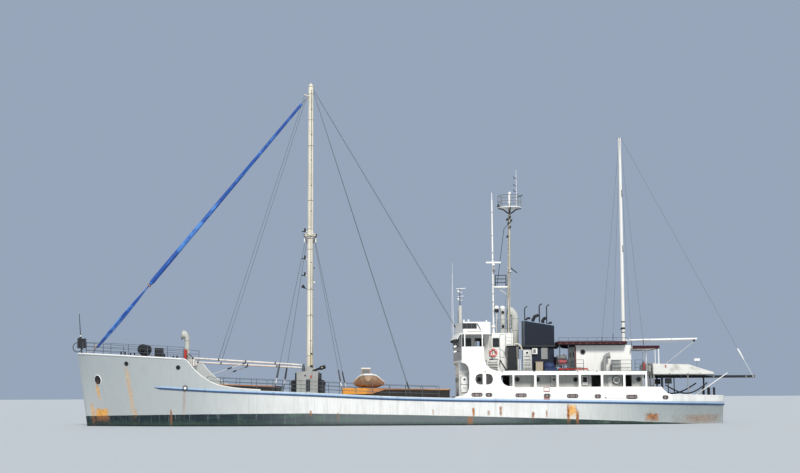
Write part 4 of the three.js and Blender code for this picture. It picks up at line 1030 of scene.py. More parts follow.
# Mast house, a locker of thin plate with louvred doors on both sides and the cone that steadies
# the mast. A winch with two drums stands on a bed before and behind it
louvre_white = paint("louvre paint", (0.64, 0.65, 0.63), 0.35, 0.35, 0.3)
mast_house_paint = paint("mast house paint", (0.40, 0.41, 0.41), 0.4, 0.5, 0.2)
pale_slats = paint("slat paint", (0.52, 0.53, 0.52), 0.4, 0.5, 0.2)
signal_red = paint("red paint", (0.50, 0.045, 0.03), 0.3, 0.2, 0.2)
MAST_X = -4.19
MAST_TOP = 15.95


def at_winch(face):
    middle = face.calc_center_median()
    return 1 if middle.x < -4.756 or middle.x > -3.774 else 0


def dress_by(node, materials, choose, eased=0.006, crease=32):
    """A node's own shape in its finish, with a material chosen for each face."""
    made = dress(node, materials, eased, crease)
    bm = bmesh.new()
    bm.from_mesh(made.data)
    for face in bm.faces:
        face.material_index = choose(face)
    bm.to_mesh(made.data)
    bm.free()
    return made


dress_by("mast_house", [mast_house_paint, black], at_winch, 0.006)
bm = bmesh.new()
for side in SIDES:
    y = side * 0.625
    for x0, x1 in ((-4.70, -4.44), (-4.40, -4.33), (-4.14, -4.06), (-4.02, -3.83)):
        for i in range(9):
            z = 1.56 + i * 0.062
            block(bm, (x0, y - 0.008, z), (x1, y + 0.008, z + 0.018))
    for x in (-4.27, -4.17):
        post(bm, x, y, 1.52, 2.06, 0.045, 0.006, 1)
    drum(bm, (-4.36, y - side * 0.02, 2.24), (-4.36, y + side * 0.02, 2.24), 0.035, index=1)
    post(bm, -4.09, y, 2.12, 2.24, 0.03, 0.02, 2)
    for x in (-4.79, -3.72):
        stack(bm, x, side * 0.595, ((1.40, 2.36, 0.034, None, 1),), 24)
for along, aside in spokes(8, 0.5):
    brace = [(MAST_X + along * out, aside * out, z) for out, z in ((0.325, 2.43), (0.185, 2.67))]
    sweep(bm, brace, 0.013, 8)
piece("mast_house_doors", bm, [pale_slats, black, signal_red])
bm = bmesh.new()
for x in (-4.88, -3.65):
    for y in (-0.385, 0.385):
        hoop(bm, (x, y, 1.88), ACROSS, 0.16, 0.012, 0, 28)
    for i in range(16):
        hoop(bm, (x, -0.33 + i * 0.044, 1.88), ACROSS, 0.097, 0.014, 1, 20, 6)
for x in (-4.80, -3.735):
    for dx in (-0.03, 0.0, 0.03):
        hoop(bm, (x + dx, -0.2, 1.92), (1, 0, 0), 0.22, 0.018, 0, 28, 8, (1.2, 0.8))
piece("winch_ropes", bm, [black, rusted])

# Foremast, a tapered steel tube in cream, with rusty bands where its lengths are welded, a cable
# down its port side, a crosstree on brackets and a yoke at the head for the topping lifts
cream = paint("cream paint", (0.77, 0.735, 0.63), 0.35, 0.4, 0.2)
black_band = paint("black band", (0.03, 0.032, 0.035), 0.1, 0.1, 0.3)
TREE_LOW, TREE_HIGH = 8.725, 8.815
LAMP_HEIGHTS = (6.87, 7.65, 8.93)
BAND_HEIGHTS = (3.15, 5.0, 6.2, 8.1, 8.6, 9.05, 10.4, 13.0, 14.25, 15.5, 15.86)


def mast_radius(z):
    """The tube's radius, which goes from that at its foot to that at its head."""
    foot, head = 0.155, 0.115
    return foot + (head - foot) * (z - 1.44) / (MAST_TOP - 1.44)


bm = bmesh.new()
levels = [1.42 + (MAST_TOP - 1.42) * i / 24 for i in range(25)]
sweep(bm, [(MAST_X, 0, z) for z in levels], [mast_radius(z) for z in levels], 28)
stack(bm, MAST_X, 0, ((15.90, 16.02, 0.06, 0.04, 0),), 24)
for low, high in ((TREE_LOW, TREE_LOW + 0.03), (TREE_HIGH - 0.03, TREE_HIGH)):
    post(bm, MAST_X, 0, low, high, 0.30, 0.16)
for x in (MAST_X - 0.28, MAST_X + 0.28):
    post(bm, x, 0, TREE_LOW, TREE_HIGH, 0.02, 0.16, 1)
drum(bm, (MAST_X, -0.33, 8.77), (MAST_X, 0.33, 8.77), 0.045)
for side in SIDES:
    sweep(bm, [(MAST_X, 0, 15.38), (-4.45, side * 0.4, 15.38)], [0.034, 0.03], 12)
    for x, inner in ((-4.46, -4.32), (-3.92, -4.06)):
        sweep(bm, [(x, side * 0.12, 8.73), (inner, side * 0.07, 8.40)], 0.014, 8, 1)
for z in LAMP_HEIGHTS:
    sweep(bm, [(MAST_X, 0, z), (-4.52, 0, z)], [0.026, 0.02])
for z in BAND_HEIGHTS:
    bands(bm, MAST_X, 0, [z], mast_radius(z) - 0.002, 0.011, 1, 28)
sweep(bm, [(-4.15, -mast_radius(z) - 0.004, z) for z in (2.7, 6.0, 9.0, 12.0, 15.7)], 0.011, 8, 2)
sweep(bm, [(-4.06, -mast_radius(z) + 0.03, z) for z in (2.7, 6.0, 8.7)], 0.007, 6, 2)
for z in levels[2:-1:2]:
    post(bm, -4.145, 0.005 - mast_radius(z), z, z + 0.02, 0.03, 0.025, 1)
piece("foremast_tube", bm, [cream, rusted, black_band], replaces="foremast")

# Lamps on the foremast's brackets, a floodlight, and the lamp and loudhailer at its foot
brass = plain("brass lamp", (0.62, 0.55, 0.34), 0.35, 0.3)[0]
bm = bmesh.new()
for z in LAMP_HEIGHTS:
    stack(bm, -4.44, 0, ((z - 0.02, z + 0.14, 0.045, 0.04, 0), (z + 0.14, z + 0.17, 0.05, 0.02, 0)))
    drum(bm, (-4.58, 0, z + 0.015), (-4.47, 0, z + 0.015), 0.028, 0.028, 12)
sweep(bm, [(-4.20, 0, 6.27), (-4.40, 0, 6.27)], 0.018, 8)
drum(bm, (-4.56, 0, 6.40), (-4.42, 0, 6.28), 0.085, 0.03, 20)
stack(bm, -4.10, -0.19, (
    (2.72, 3.20, 0.05, 0.045, 1), (3.20, 3.28, 0.055, 0.03, 0), (2.66, 2.72, 0.085, 0.055, 0),
))
horn = Vector((-3.68, -0.33, 2.575))
sweep(bm, [(-4.03, -0.25, 2.45), (-3.72, -0.32, 2.56), horn], [0.05, 0.055, 0.085], 16)
sweep(bm, [horn, (-3.46, -0.38, 2.64)], [0.095, 0.085], 16)
drum(bm, (-3.60, -0.44, 2.60), (-3.60, -0.452, 2.60), 0.03, index=1)
for x in (-4.45, -3.93):
    stack(bm, x, -0.12, ((8.42, 8.60, 0.028, None, 2),), 24)
drum(bm, (-4.03, -0.06, 6.55), (-3.95, -0.06, 6.55), 0.045, 0.03, 16, 2)
drum(bm, (-4.03, -0.04, 7.22), (-3.97, -0.04, 7.22), 0.03, 0.03, 12, 3)
piece("foremast_lamps", bm, [black, brass, white, rusted])

# Derricks. A cast swivel stands on the mast house, and the boom is a tapered tube that tops up
# between its cheeks, with a goose eye at the heel and black bands where the wires are shackled
spar_white = paint("spar paint", (0.76, 0.72, 0.69), 0.35, 0.5, 0.22)
HEEL_X = -4.45
BOOMS = {"port": (-0.4, 2.72, 3.069, -9.64), "starboard": (0.4, 2.61, 2.90, -9.54)}
SPAR_SHAPE = (0.022, 0.028, 0.043, 0.0425, 0.0387)
WIRE_AT = 3.9
BAND_AT = 2.66


def boom_line(name):
    """A boom's heel, its spar from heel to head and the way it points."""
    y, heel_z, head_z, head_x = BOOMS[name]
    heel = Vector((HEEL_X, y, heel_z))
    spar = Vector((head_x, y, head_z)) - heel
    return heel, spar, spar.normalized()


for name in BOOMS:
    heel, spar, along = boom_line(name)
    dress(f"derrick_swivel_{name}", [rail_grey], 0.005)
    bm = bmesh.new()
    drum(bm, heel - ACROSS * 0.035, heel + ACROSS * 0.035, 0.04)
    reaches = [along * far for far in (0.025, 0.16, 0.40)] + [spar * 0.55, spar]
    sweep(bm, [heel + reach for reach in reaches], SPAR_SHAPE, 20)
    lug_way = along.cross(ACROSS)
    for far in (BAND_AT, WIRE_AT, 1.3, spar.length - 0.12):
        at = heel + along * far
        drum(bm, at - along * 0.03, at + along * 0.03, 0.048, index=1)
        drum(bm, at - lug_way * 0.045, at - lug_way * 0.075, 0.014, index=1)
    drum(bm, heel + spar - along * 0.004, heel + spar + along * 0.006, 0.034, index=1)
    piece(f"boom_{name}_spar", bm, [spar_white, black_band], f"boom_{name}", f"boom_{name}")

# Guys of the derricks. A rope runs from the deck's edge to a block, and a tackle goes on from
# there to the band on the boom
rope_white = paint("guy rope", (0.68, 0.66, 0.60), 0.3, 0.1, 0.05)
GUY_X = -9.13


def turned(bm, a, b, shares, widths, facets=10, index=0):
    """A round part on the line from a to b, with its width at each share of the way."""
    a, b = Vector(a), Vector(b)
    sweep(bm, [a.lerp(b, share) for share in shares], widths, facets, index)


for name in BOOMS:
    heel, spar, along = boom_line(name)
    top = heel + along * BAND_AT - UP * 0.07
    edge = station(GUY_X)
    foot = Vector((GUY_X, math.copysign(edge[2] - 0.16, heel.y), edge[1] + 0.36))
    low, high, tail = (foot.lerp(top, share) for share in (0.62, 0.72, 0.93))
    bm = bmesh.new()
    sweep(bm, [foot, low], 0.011, 8)
    guy = piece(f"boom_guy_{name}", bm, [rope_white], None)
    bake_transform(guy)
    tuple(low)
    bm = bmesh.new()
    for start, end in ((low, high), (tail, top)):
        turned(bm, start, end, (0, 0.2, 0.8, 1), (0.012, 0.032, 0.032, 0.012), 10, 1)
    for rise in (-0.012, 0.012):
        sweep(bm, [high + UP * rise, tail + UP * rise], 0.007, 6)
    tackle = piece(f"boom_tackle_{name}", bm, [rope_white, black_band], None)
    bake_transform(tackle)
    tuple(high)
    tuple(tail)

# Topping lifts, a wire from the yoke to a band on each boom with a block near its foot
TOP_LIMIT = math.radians(60)
wire = paint("wire", (0.075, 0.08, 0.09), 0.2, 0.1, 0.4)
for name in BOOMS:
    heel, spar, along = boom_line(name)
    foot = heel + along * WIRE_AT + Vector((along.z, 0, -along.x)) * 0.06
    head = Vector((HEEL_X, heel.y, 15.36))
    moved = Matrix.Rotation(TOP_LIMIT, 3, "Y") @ (foot - heel) + heel - foot
    lift_block = foot.lerp(head, 0.06)
    bm = bmesh.new()
    sweep(bm, [foot, lift_block, head], 0.007, 6)
    for apart in (-0.03, 0.03):
        sweep(bm, [foot + ACROSS * apart, lift_block + ACROSS * apart], 0.005, 6)
    lift = piece(f"topping_lift_{name}", bm, [wire], f"derrick_swivel_{name}")
    way = moved.normalized()
    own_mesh(lift)

# Standing rigging of galvanised wire, with turnbuckles at its feet. The shrouds wear black
# sleeves where hands would reach, and white ones below them.
# Columns: name, foot's x, head, black sleeve's shares and widths, white sleeve's shares and width
STAYS = (
    ("fore_shroud", -5.62, (-4.35, 0.3, 8.71),
     (0.08, 0.09, 0.165, 0.17), (0.015, 0.045, 0.038, 0.012), (0.05, 0.08), 0.02),
    ("aft_shroud", -2.566, (-4.024, 0.3, 8.71),
     (0.075, 0.08, 0.145, 0.15), (0.012, 0.034, 0.034, 0.012), (0.045, 0.074), 0.026),
    ("deck_backstay", 0.49, (-4.06, 0.095, 15.6), (), (), (), 0),
)
for word, x, head, sleeve, widths, low_sleeve, low_width in STAYS:
    bm = bmesh.new()
    for side in SIDES:
        a = Vector((x, side * (station(x)[2] - 0.15), station(x)[1] - 0.01))
        b = Vector((head[0], side * head[1], head[2]))
        sweep(bm, [a, b], 0.008, 8)
        turned(bm, a, b, (0.012, 0.016, 0.045, 0.05), (0.01, 0.022, 0.022, 0.01))
        drum(bm, a, a + UP * 0.04, 0.04, 0.025, 12)
        if sleeve:
            turned(bm, a, b, sleeve, widths, 12)
            turned(bm, a, b, low_sleeve, low_width, 10, 1)
    piece(f"{word}s", bm, [wire, white, black],
          replaces=(f"{word}_port", f"{word}_starboard"))
bm = bmesh.new()
for side in SIDES:
    foot, head = (2.56, side * 0.25, 4.40), (-4.07, side * 0.06, 15.72)
    sweep(bm, [head, foot], 0.006, 6)
    turned(bm, foot, head, (0.003, 0.02), 0.014, 8)
piece("bridge_backstays", bm, [wire])

# Headsail furled on the forestay under a blue cover, laced in two strips low down and in one roll
# above the knot. The stay's bare wire shows at both ends
sail_blue, shader, place = plain("sail cover", (0.03, 0.12, 0.45), 0.75)
streaks = noisy(stretched(place, (1.2, 9.0, 1.2)), 1.0, 4.0, 0.6)
shade = tint(step(streaks, 0.46, 0.60), (0.012, 0.070, 0.33), (0.075, 0.235, 0.62))
joined(shader, "Base Color", shade)
bumped(shader, streaks, 0.02, 0.6)
STAY_FOOT = Vector((-14.33, 0, 3.22))
stay = Vector((MAST_X, 0, 15.56)) - STAY_FOOT
along = stay.normalized()
square = along.cross(ACROSS)


def roll_radius(t):
    grown = min((t - 0.255) / 0.02, 1)
    return (0.098 - 0.045 * max(t - 0.35, 0) / 0.61) * grown + 0.012


bm = bmesh.new()
sweep(bm, [STAY_FOOT, STAY_FOOT + stay], 0.011, 8, 1)
shares = [0.258 + 0.70 * i / 40 for i in range(41)]
sweep(bm, [STAY_FOOT + stay * t for t in shares], [roll_radius(t) for t in shares], 16)
for i in range(30):
    t = 0.30 + 0.64 * i / 29
    slant = along + square * (0.25 if i % 2 else -0.25)
    hoop(bm, STAY_FOOT + stay * t, slant, roll_radius(t) + 0.001, 0.005, 0, 16, 5)
for way in SIDES:
    strip = []
    widths = []
    for i in range(15):
        apart = 0.052 * math.sin(math.pi * min(i / 14 + 0.12, 1)) ** 0.7
        strip.append(STAY_FOOT + stay * (0.03 + 0.235 * i / 14) + square * way * apart)
        widths.append(0.028 + 0.020 * math.sin(math.pi * i / 14))
    sweep(bm, strip, widths, 12)
for turn in (0.2, -0.3, 0.0):
    knot = STAY_FOOT + stay * 0.262 + square * turn * 0.1
    hoop(bm, knot, along + square * turn, 0.062, 0.022, 2, 20, 8)
piece("furled_headsail", bm, [sail_blue, wire, canvas],
      replaces="forestay_sail", crease=60)
tan_rope = paint("rope", (0.50, 0.42, 0.30), 0.4, 0.2, 0.1)
bm = bmesh.new()
sweep(bm, [(-14.09, 0, 3.58), (-14.35, 0, 3.40), (-14.52, 0, 3.22)], 0.012, 8)
drum(bm, (-14.14, 0, 3.60), (-14.04, 0, 3.70), 0.045)
drum(bm, (-14.42, 0, 3.28), (-14.50, 0, 3.36), 0.035)
piece("headsail_tackle", bm, [tan_rope])

# Side plating of the superstructure, one curved sheet a side that carries the boat deck and the
# bridge wings. Rounded bays open it, with welded edge bars, and freeing ports drain the deck
bright_white = paint("bright white paint", (0.88, 0.88, 0.86), 0.07, 0.12, 0.03)
# The house grey is the superstructure's white greyed all over as painted shade; the deckhouse, wheelhouse,
# side doors and brackets take it
painted_shade_grey = paint("house white with painted shade", (0.60, 0.60, 0.58), 0.25, 0.25, 0.06)
port_mauve = paint("shutter paint", (0.28, 0.235, 0.235), 0.4, 0.4, 0.5)
rim_rust = paint("rusted rim", (0.045, 0.032, 0.028), 0.4, 0.3, 0.5)
for word in ("port", "starboard"):
    dress(f"side_plating_{word}", [bright_white], 0.008)
CORNER_STEPS = 5


def edge_bar(bm, x0, x1, z0, z1, rounding, y, thick, index=0):
    """A round bar welded round an opening in the ship's side, with rounded corners."""
    points = []
    right, left, high, low = x1 - rounding, x0 + rounding, z1 - rounding, z0 + rounding
    for quarter, (cx, cz) in enumerate(((right, high), (left, high), (left, low), (right, low))):
        for i in range(CORNER_STEPS + 1):
            turn = (quarter + i / CORNER_STEPS) * math.pi / 2
            points.append((cx + rounding * math.cos(turn), y, cz + rounding * math.sin(turn)))
    middle = [((x0 + x1) / 2, y, z1)]
    first, rest = points[:CORNER_STEPS + 1], points[CORNER_STEPS + 1:]
    sweep(bm, middle + rest + first + middle, thick, 8, index)


def plate_at(bm, x0, x1, z0, z1, y, out, index=0):
    """A plate lying on a side wall, out from it by a little. Port is the side below zero."""
    side = math.copysign(1, y)
    low, high = sorted((y - side * 0.004, y + side * out))
    block(bm, (x0, low, z0), (x1, high, z1), index)


FREEING_PORTS = (
    (3.365, 0.47), (3.89, 0.275), (5.31, 0.48), (6.46, 0.275),
    (7.585, 0.48), (8.70, 0.26), (10.20, 0.48), (11.69, 0.245),
)
bm = bmesh.new()
for side in SIDES:
    for x, wide in FREEING_PORTS:
        line = station(x)
        z = line[1] + 0.15
        half = wide / 2
        edge_bar(bm, x - half, x + half, z - 0.075, z + 0.075, 0.07, side * (line[2] + 0.002), 0.013, 1)
        flap = side * (line[2] - 0.028)
        post(bm, x, flap, z - 0.055, z + 0.055, half - 0.028, 0.006)
        for hinge in (x - wide / 4, x + wide / 4):
            post(bm, hinge, flap, z - 0.06, z + 0.065, 0.012, 0.014, 1)
piece("freeing_port_shutters", bm, [port_mauve, rim_rust])

PLATING_Y = 2.352
BAY_LOW, BAY_HIGH = 1.795, 2.23
# Columns: the square end's x, the rounded end's x and the way from there to the square end
BAYS = ((3.625, 3.32, 1), (3.77, 4.06, -1))
BAY_CURVE = ((0.17, 0), (0.05, 0.05), (0, 0.17))
stain = paint("ochre stain", (0.66, 0.62, 0.44), 0.4, 0.4, 0.2)
bm = bmesh.new()
for side in SIDES:
    y = side * PLATING_Y
    for square, rounded, way in BAYS:
        upper = [(rounded + way * dx, y, BAY_HIGH - dz) for dx, dz in BAY_CURVE]
        lower = [(rounded + way * dx, y, BAY_LOW + dz) for dx, dz in reversed(BAY_CURVE)]
        sweep(bm, [(square, y, BAY_HIGH)] + upper + lower + [(square, y, BAY_LOW)], 0.015, 8, 4)
        x = min(square, rounded) + 0.0275
        post(bm, x, y * 0.985, BAY_LOW + 0.01, BAY_HIGH - 0.01, 0.0075, 0.004, 2)
    for i in range(6):
        x = 5.015 + 0.9825 * i
        edge_bar(bm, x, x + 0.895, 1.645, 2.188, 0.045, y, 0.009)
    # Black discs on the plating stand for the scupper holes, their dark drawn as painted shade
    for x in (3.734, 4.49, 5.90, 7.833, 8.68):
        drum(bm, (x, y - side * 0.01, 2.335), (x, y + side * 0.004, 2.335), 0.026, index=1, facets=16)
    drum(bm, (9.047, y - side * 0.01, 1.17), (9.047, y + side * 0.004, 1.17), 0.03, index=1, facets=16)
sweep(bm, [(3.55, -2.355, 2.86), (3.55, -2.355, 2.20)], 0.007, 6, 3)
piece("side_plating_trim", bm, [bright_white, black, port_mauve, stain, rim_rust])

pink = paint("faded red paint", (0.40, 0.20, 0.18), 0.3, 0.3, 0.2)
bm = bmesh.new()
for y in (-PLATING_Y, PLATING_Y):
    for z0, z1 in ((1.43, 1.66), (1.10, 1.205)):
        plate_at(bm, 6.31, 6.575, z0, z1, y, 0.003, 0)
        plate_at(bm, 6.335, 6.55, z0 + 0.055, z1 - 0.05, y, 0.005, 1)
piece("side_marks", bm, [pink, bright_white])

# Deckhouse of stiffened plate inside the side plating, white greyed all over as painted shade, with
# brass-rimmed portholes, rubber-lipped doorways and a lifebuoy on its wall
HOUSE_Y = 1.80
PORTHOLES = ((3.50, 2.0), (5.204, 2.0), (6.10, 1.99), (7.80, 1.98), (10.62, 1.98))
DOORWAYS = ((4.50, 4.85), (8.52, 8.94), (9.89, 10.31))
STIFFENERS = (5.95, 6.60, 7.42, 8.12, 8.40, 9.15)
dress("deckhouse", [painted_shade_grey], 0.006)
frame_grey = paint("frame paint", (0.20, 0.21, 0.215), 0.3, 0.2, 0.3)
bm = bmesh.new()
for side in SIDES:
    wall = side * HOUSE_Y
    for x, z in PORTHOLES:
        porthole(bm, (x, wall, z), (0, side, 0), 0.098)
    for x0, x1 in DOORWAYS:
        edge_bar(bm, x0, x1, 1.31, 2.16, 0.03, side * 1.803, 0.014, 2)
    for x in STIFFENERS:
        post(bm, x, side * 1.81, 1.2, 2.28, 0.012, 0.012, 3)
    plate_at(bm, 8.10, 8.34, 1.72, 2.12, wall, 0.05, 4)
    plate_at(bm, 8.13, 8.31, 1.86, 2.08, side * 1.845, 0.012, 1)
    plate_at(bm, 9.26, 9.42, 1.60, 2.10, wall, 0.06, 4)
for y in (-1.1, 0, 1.1):
    porthole(bm, (2.60, y, 2.0), (-1, 0, 0), 0.098)
piece("deckhouse_portholes", bm, [frame_grey, glass, frame_grey, painted_shade_grey, white])
buoy_white = paint("lifebuoy", (0.88, 0.88, 0.86), 0.1, 0.1, 0.0)


def lifebuoy(bm, hub, radius, thick, facets, band, band_thick, band_facets, band_sides):
    """A ring with four bands round it. Indices: ring 0, bands 1."""
    hoop(bm, hub, ACROSS, radius, thick, 0, facets, 12)
    for along, rise in spokes(4, 0.5):
        at = hub + Vector((along, 0, rise)) * radius
        hoop(bm, at, (-rise, 0, along), band, band_thick, 1, band_facets, band_sides)


bm = bmesh.new()
for side in SIDES:
    hub = Vector((9.617, side * 1.86, 1.951))
    lifebuoy(bm, hub, 0.135, 0.042, 32, 0.043, 0.006, 14, 5)
    for quarter in range(4):
        grab_line = []
        for i in range(6):
            angle = (quarter + 0.5 + i / 5) * math.tau / 4
            far = 0.182 + 0.012 * math.sin(math.pi * i / 5)
            grab_line.append(hub + Vector((far * math.cos(angle), side * 0.01, far * math.sin(angle))))
        sweep(bm, grab_line, 0.005, 6, 1)
piece("deckhouse_lifebuoys", bm, [buoy_white, black])

# Weathertight doors, pressed plate in a rolled frame with a rubber seal, a round light and
# clips that turn on the wall. They hang on two lugs outside the deckhouse
DOORS = (
    ("door", bright_white, 3.03, 1.415, 0.765), ("side_door", painted_shade_grey, 7.03, 1.30, 0.85),
)
for word, shade, hinge_x, sill, tall in DOORS:
    for side, name in ((-1, "port"), (1, "starboard")):
        node = f"{word}_{name}"
        dress(node, [shade], 0.006)
        y = side * 1.826
        middle = hinge_x - 0.19
        bm = bmesh.new()
        edge_bar(bm, hinge_x - 0.355, hinge_x - 0.03, sill + 0.02, sill + tall - 0.02, 0.06, y, 0.011, 2)
        porthole(bm, (middle, y, sill + tall - 0.17), (0, side, 0), 0.062)
        hoop(bm, (middle, y + side * 0.004, sill + 0.21), ACROSS, 0.045, 0.008, 2, 24, 6)
        post(bm, middle, y, sill + 0.36, sill + 0.385, 0.14, 0.006, 2)
        for z in (sill + 0.12, sill + 0.40, sill + 0.66):
            clip = Vector((hinge_x - 0.335, y, z))
            tip = clip + Vector((0.045, side * 0.025, 0.015))
            sweep(bm, [clip, clip + ACROSS * side * 0.02, tip], 0.007, 8, 2)
        piece(f"{node}_fittings", bm, [shade, glass, frame_grey], node)

# Boat deck, painted green and worn through on the walkways, with a flat bar along its edge
dress("boat_deck", [deck_paint], 0.004)

# Bridge deck on its base, of white plate with brackets under its wings
dress("bridge_deck", [white], 0.008)


def front_at(y):
    """The x of the curved front."""
    return 13.05 - math.sqrt(10.6 ** 2 - y ** 2)


bm = bmesh.new()
for y in (-2.0, -1.2, -0.4, 0.4, 1.2, 2.0):
    sweep(bm, [(front_at(y) + 0.05, y, 2.74), (2.60, y, 2.70), (2.615, y, 2.50)], 0.012, 6)
for side in SIDES:
    plate_at(bm, 2.72, 3.0, 2.40, 2.74, side * HOUSE_Y, 0.01)
piece("bridge_deck_brackets", bm, [painted_shade_grey])

# Bridge front, a curved screen in grey with seven square lights in rubber, each with a drip bar
front_grey = paint("bridge front paint", (0.36, 0.37, 0.38), 0.25, 0.25, 0.06)
dress("bridge_front", [front_grey], 0.005)
pane, shader, place = plain("window glass", (0.03, 0.04, 0.045), 0.05)
shader.inputs["Alpha"].default_value = 0.62
bm = bmesh.new()
for y in (-1.95, -1.3, -0.65, 0, 0.65, 1.3, 1.95):
    front = front_at(y)
    post(bm, front + 0.017, y, 3.468, 3.862, 0.005, 0.252)
    for z in (3.462, 3.868):
        post(bm, front + 0.010, y, z - 0.012, z + 0.012, 0.020, 0.27, 1)
    for edge in (-0.26, 0.26):
        post(bm, front + 0.010, y + edge, 3.46, 3.87, 0.020, 0.012, 1)
for side in SIDES:
    y = side * 1.45
    post(bm, 2.965, y * 0.985, 3.472, 3.858, 0.213, 0.004)
    post(bm, 3.945, side * 0.7, 3.47, 3.86, 0.005, 0.25)
    post(bm, 4.335, side * 0.975, 3.472, 3.878, 0.143, 0.004)
    edge_bar(bm, 2.75, 3.18, 3.47, 3.86, 0.03, y, 0.012, 1)
    edge_bar(bm, 4.19, 4.48, 3.47, 3.88, 0.03, side, 0.012, 1)
    edge_bar(bm, 3.35, 3.75, 2.92, 3.86, 0.03, y, 0.014, 1)
piece("bridge_windows", bm, [pane, frame_grey])

# Wheelhouse behind the screen, white greyed outside as painted shade, with the helm and its console inside
dress("wheelhouse", [painted_shade_grey], 0.006)
varnish = paint("varnished wood", (0.19, 0.085, 0.035), 0.2, 0.0, 0.0)
HELM = Vector((3.12, 0, 3.22))
bm = bmesh.new()
block(bm, (2.80, -0.75, 2.86), (3.02, 0.75, 3.32))
block(bm, (2.78, -0.78, 3.32), (3.06, 0.78, 3.35), 1)
drum(bm, (3.02, 0, 3.22), HELM, 0.022, index=1)
hoop(bm, HELM, (1, 0, 0), 0.17, 0.011, 0, 32)
for aside, rise in spokes(6):
    way = Vector((0, aside, rise))
    sweep(bm, [HELM + way * 0.02, HELM + way * 0.22], 0.008, 8)
block(bm, (3.45, -0.3, 2.86), (3.70, 0.0, 3.24), 1)
block(bm, (3.68, -0.3, 3.24), (3.72, 0.0, 3.56), 1)
piece("helm", bm, [varnish, black], eased=0.005)

# Open bridge on the wheelhouse's roof. The tub's plating is white, the visor under it dark below,
# and it carries a louvred box, a compass post, whip aerials and the lamps over the wings
pale_grey = paint("pale grey paint", (0.55, 0.56, 0.53), 0.3, 0.4, 0.15)
COMPASS_X = 2.765


def tub_finish(face):
    middle = face.calc_center_median()
    if middle.x < 2.62 and 3.7 < middle.z < 4.08 and face.normal.z < 0.3:
        return 1
    if abs(middle.x - COMPASS_X) < 0.1 and abs(middle.y) < 0.1 and middle.z > 4.04:
        return 1 if middle.z > 5.43 else 2
    return 0


dress_by("monkey_island", [bright_white, black, pale_grey], tub_finish, 0.008)
bm = bmesh.new()
# Louvred boxes on the tub's sides: the louvres and their uprights are grey, and the plate behind them
# black, as painted shade
for side in SIDES:
    plate_at(bm, 2.749, 3.395, 4.248, 4.489, side * 2.30, 0.012)
    for i in range(6):
        z = 4.27 + i * 0.036
        plate_at(bm, 2.77, 3.375, z, z + 0.004, side * 2.306, 0.014, 1)
    for x in (2.76, 2.96, 3.17, 3.38):
        plate_at(bm, x - 0.006, x + 0.006, 4.25, 4.487, side * 2.306, 0.016, 1)
    bracket = ((3.43, 2.335, 4.45), (3.50, 2.345, 4.33), (3.56, 2.335, 4.19))
    sweep(bm, [(x, side * y, z) for x, y, z in bracket], 0.012, 8)
    drum(bm, (3.43, side * 2.30, 4.45), (3.43, side * 2.35, 4.45), 0.018)
    sweep(bm, [(2.98, side * 2.32, 4.14), (3.62, side * 2.32, 4.12)], 0.010, 6, 3)
for aerial in (((2.42, -0.9, 4.02), (2.40, -0.9, 5.9), (2.395, -0.9, 7.35)),
               ((2.42, 0.7, 4.02), (2.42, 0.7, 5.6), (2.45, 0.7, 7.0))):
    sweep(bm, aerial, (0.010, 0.007, 0.004), 6, 2)
stack(bm, 2.62, -1.2, ((4.40, 5.12, 0.012, 0.009, 0),), 8)
stack(bm, 2.78, 1.3, ((4.40, 4.75, 0.03, 0.03, 0),), 12)
stack(bm, COMPASS_X, 0, ((5.80, 6.22, 0.018, 0.014, 0),), 10)
for x, y in ((2.85, -1.75), (3.05, -1.9), (3.9, -1.2)):
    stack(bm, x, y, ((4.52, 4.62, 0.03, 0.045, 2),), 14)
    ball(bm, (x, y, 4.64), 0.045, 2)
for z, reach, tall in ((6.22, 0.27, 0.016), (6.04, 0.12, 0.014), (5.86, 0.17, 0.014), (5.68, 0.12, 0.012)):
    sweep(bm, [(COMPASS_X - reach * 0.6, 0.02, z), (COMPASS_X + reach, -0.02, z + 0.02)], tall, 8, 2)
ball(bm, (2.69, 0, 5.74), 0.05, 2)
ball(bm, (2.70, 0, 6.10), 0.06, 2, (1, 1, 0.8))
lamp_y = -1.9
front = front_at(lamp_y)
for z, shade in ((3.66, 0), (3.46, 2), (3.23, 2)):
    sweep(bm, [(front + 0.01, lamp_y, z + 0.03), (front - 0.14, lamp_y, z + 0.03)], 0.012, 8)
    drum(bm, (front - 0.24, lamp_y, z - 0.01), (front - 0.12, lamp_y, z + 0.03), 0.055, 0.035, 16, shade)
piece("bridge_lamps", bm, [black, frame_grey, bright_white, stain])

# Chart house with a plain door, a ladder and rails, and the post that carries the aerial domes
POST_X = 4.714


def chart_finish(face):
    return 1 if face.calc_center_median().z > 4.12 else 0


dress_by("chart_house", [bright_white, pale_grey], chart_finish, 0.006)
bm = bmesh.new()
for side in SIDES:
    plate_at(bm, 4.52, 4.75, 3.02, 4.03, side, 0.014)
    edge_bar(bm, 4.51, 4.76, 3.01, 4.04, 0.04, side * 1.004, 0.007, 2)
    drum(bm, (4.70, side, 3.55), (4.70, side * 1.04, 3.55), 0.01, index=1)
    out, over = side * 1.05, side * 0.95
    for x in (4.80, 5.06):
        sweep(bm, [(x, out, 2.42), (x, out, 4.22), (x, over, 4.28)], 0.011, 8)
    for i in range(11):
        z = 2.5 + i * 0.16
        sweep(bm, [(4.80, out, z), (5.06, out, z)], 0.008, 6)
    rail = ((4.42, side * 0.96), (4.86, side * 0.96), (5.08, side * 0.6))
    for x, y in rail:
        stack(bm, x, y, ((4.10, 4.72, 0.011, 0.011, 2),), 8)
    for z in (4.33, 4.52, 4.71):
        sweep(bm, [(x, y, z) for x, y in rail], 0.008, 6, 2)
    post(bm, 4.07, side * 0.985, 2.87, 3.98, 0.085, 0.006, 3)
ball(bm, (POST_X, -0.3, 5.30), 0.12, 0, (1, 1, 0.85), 24)
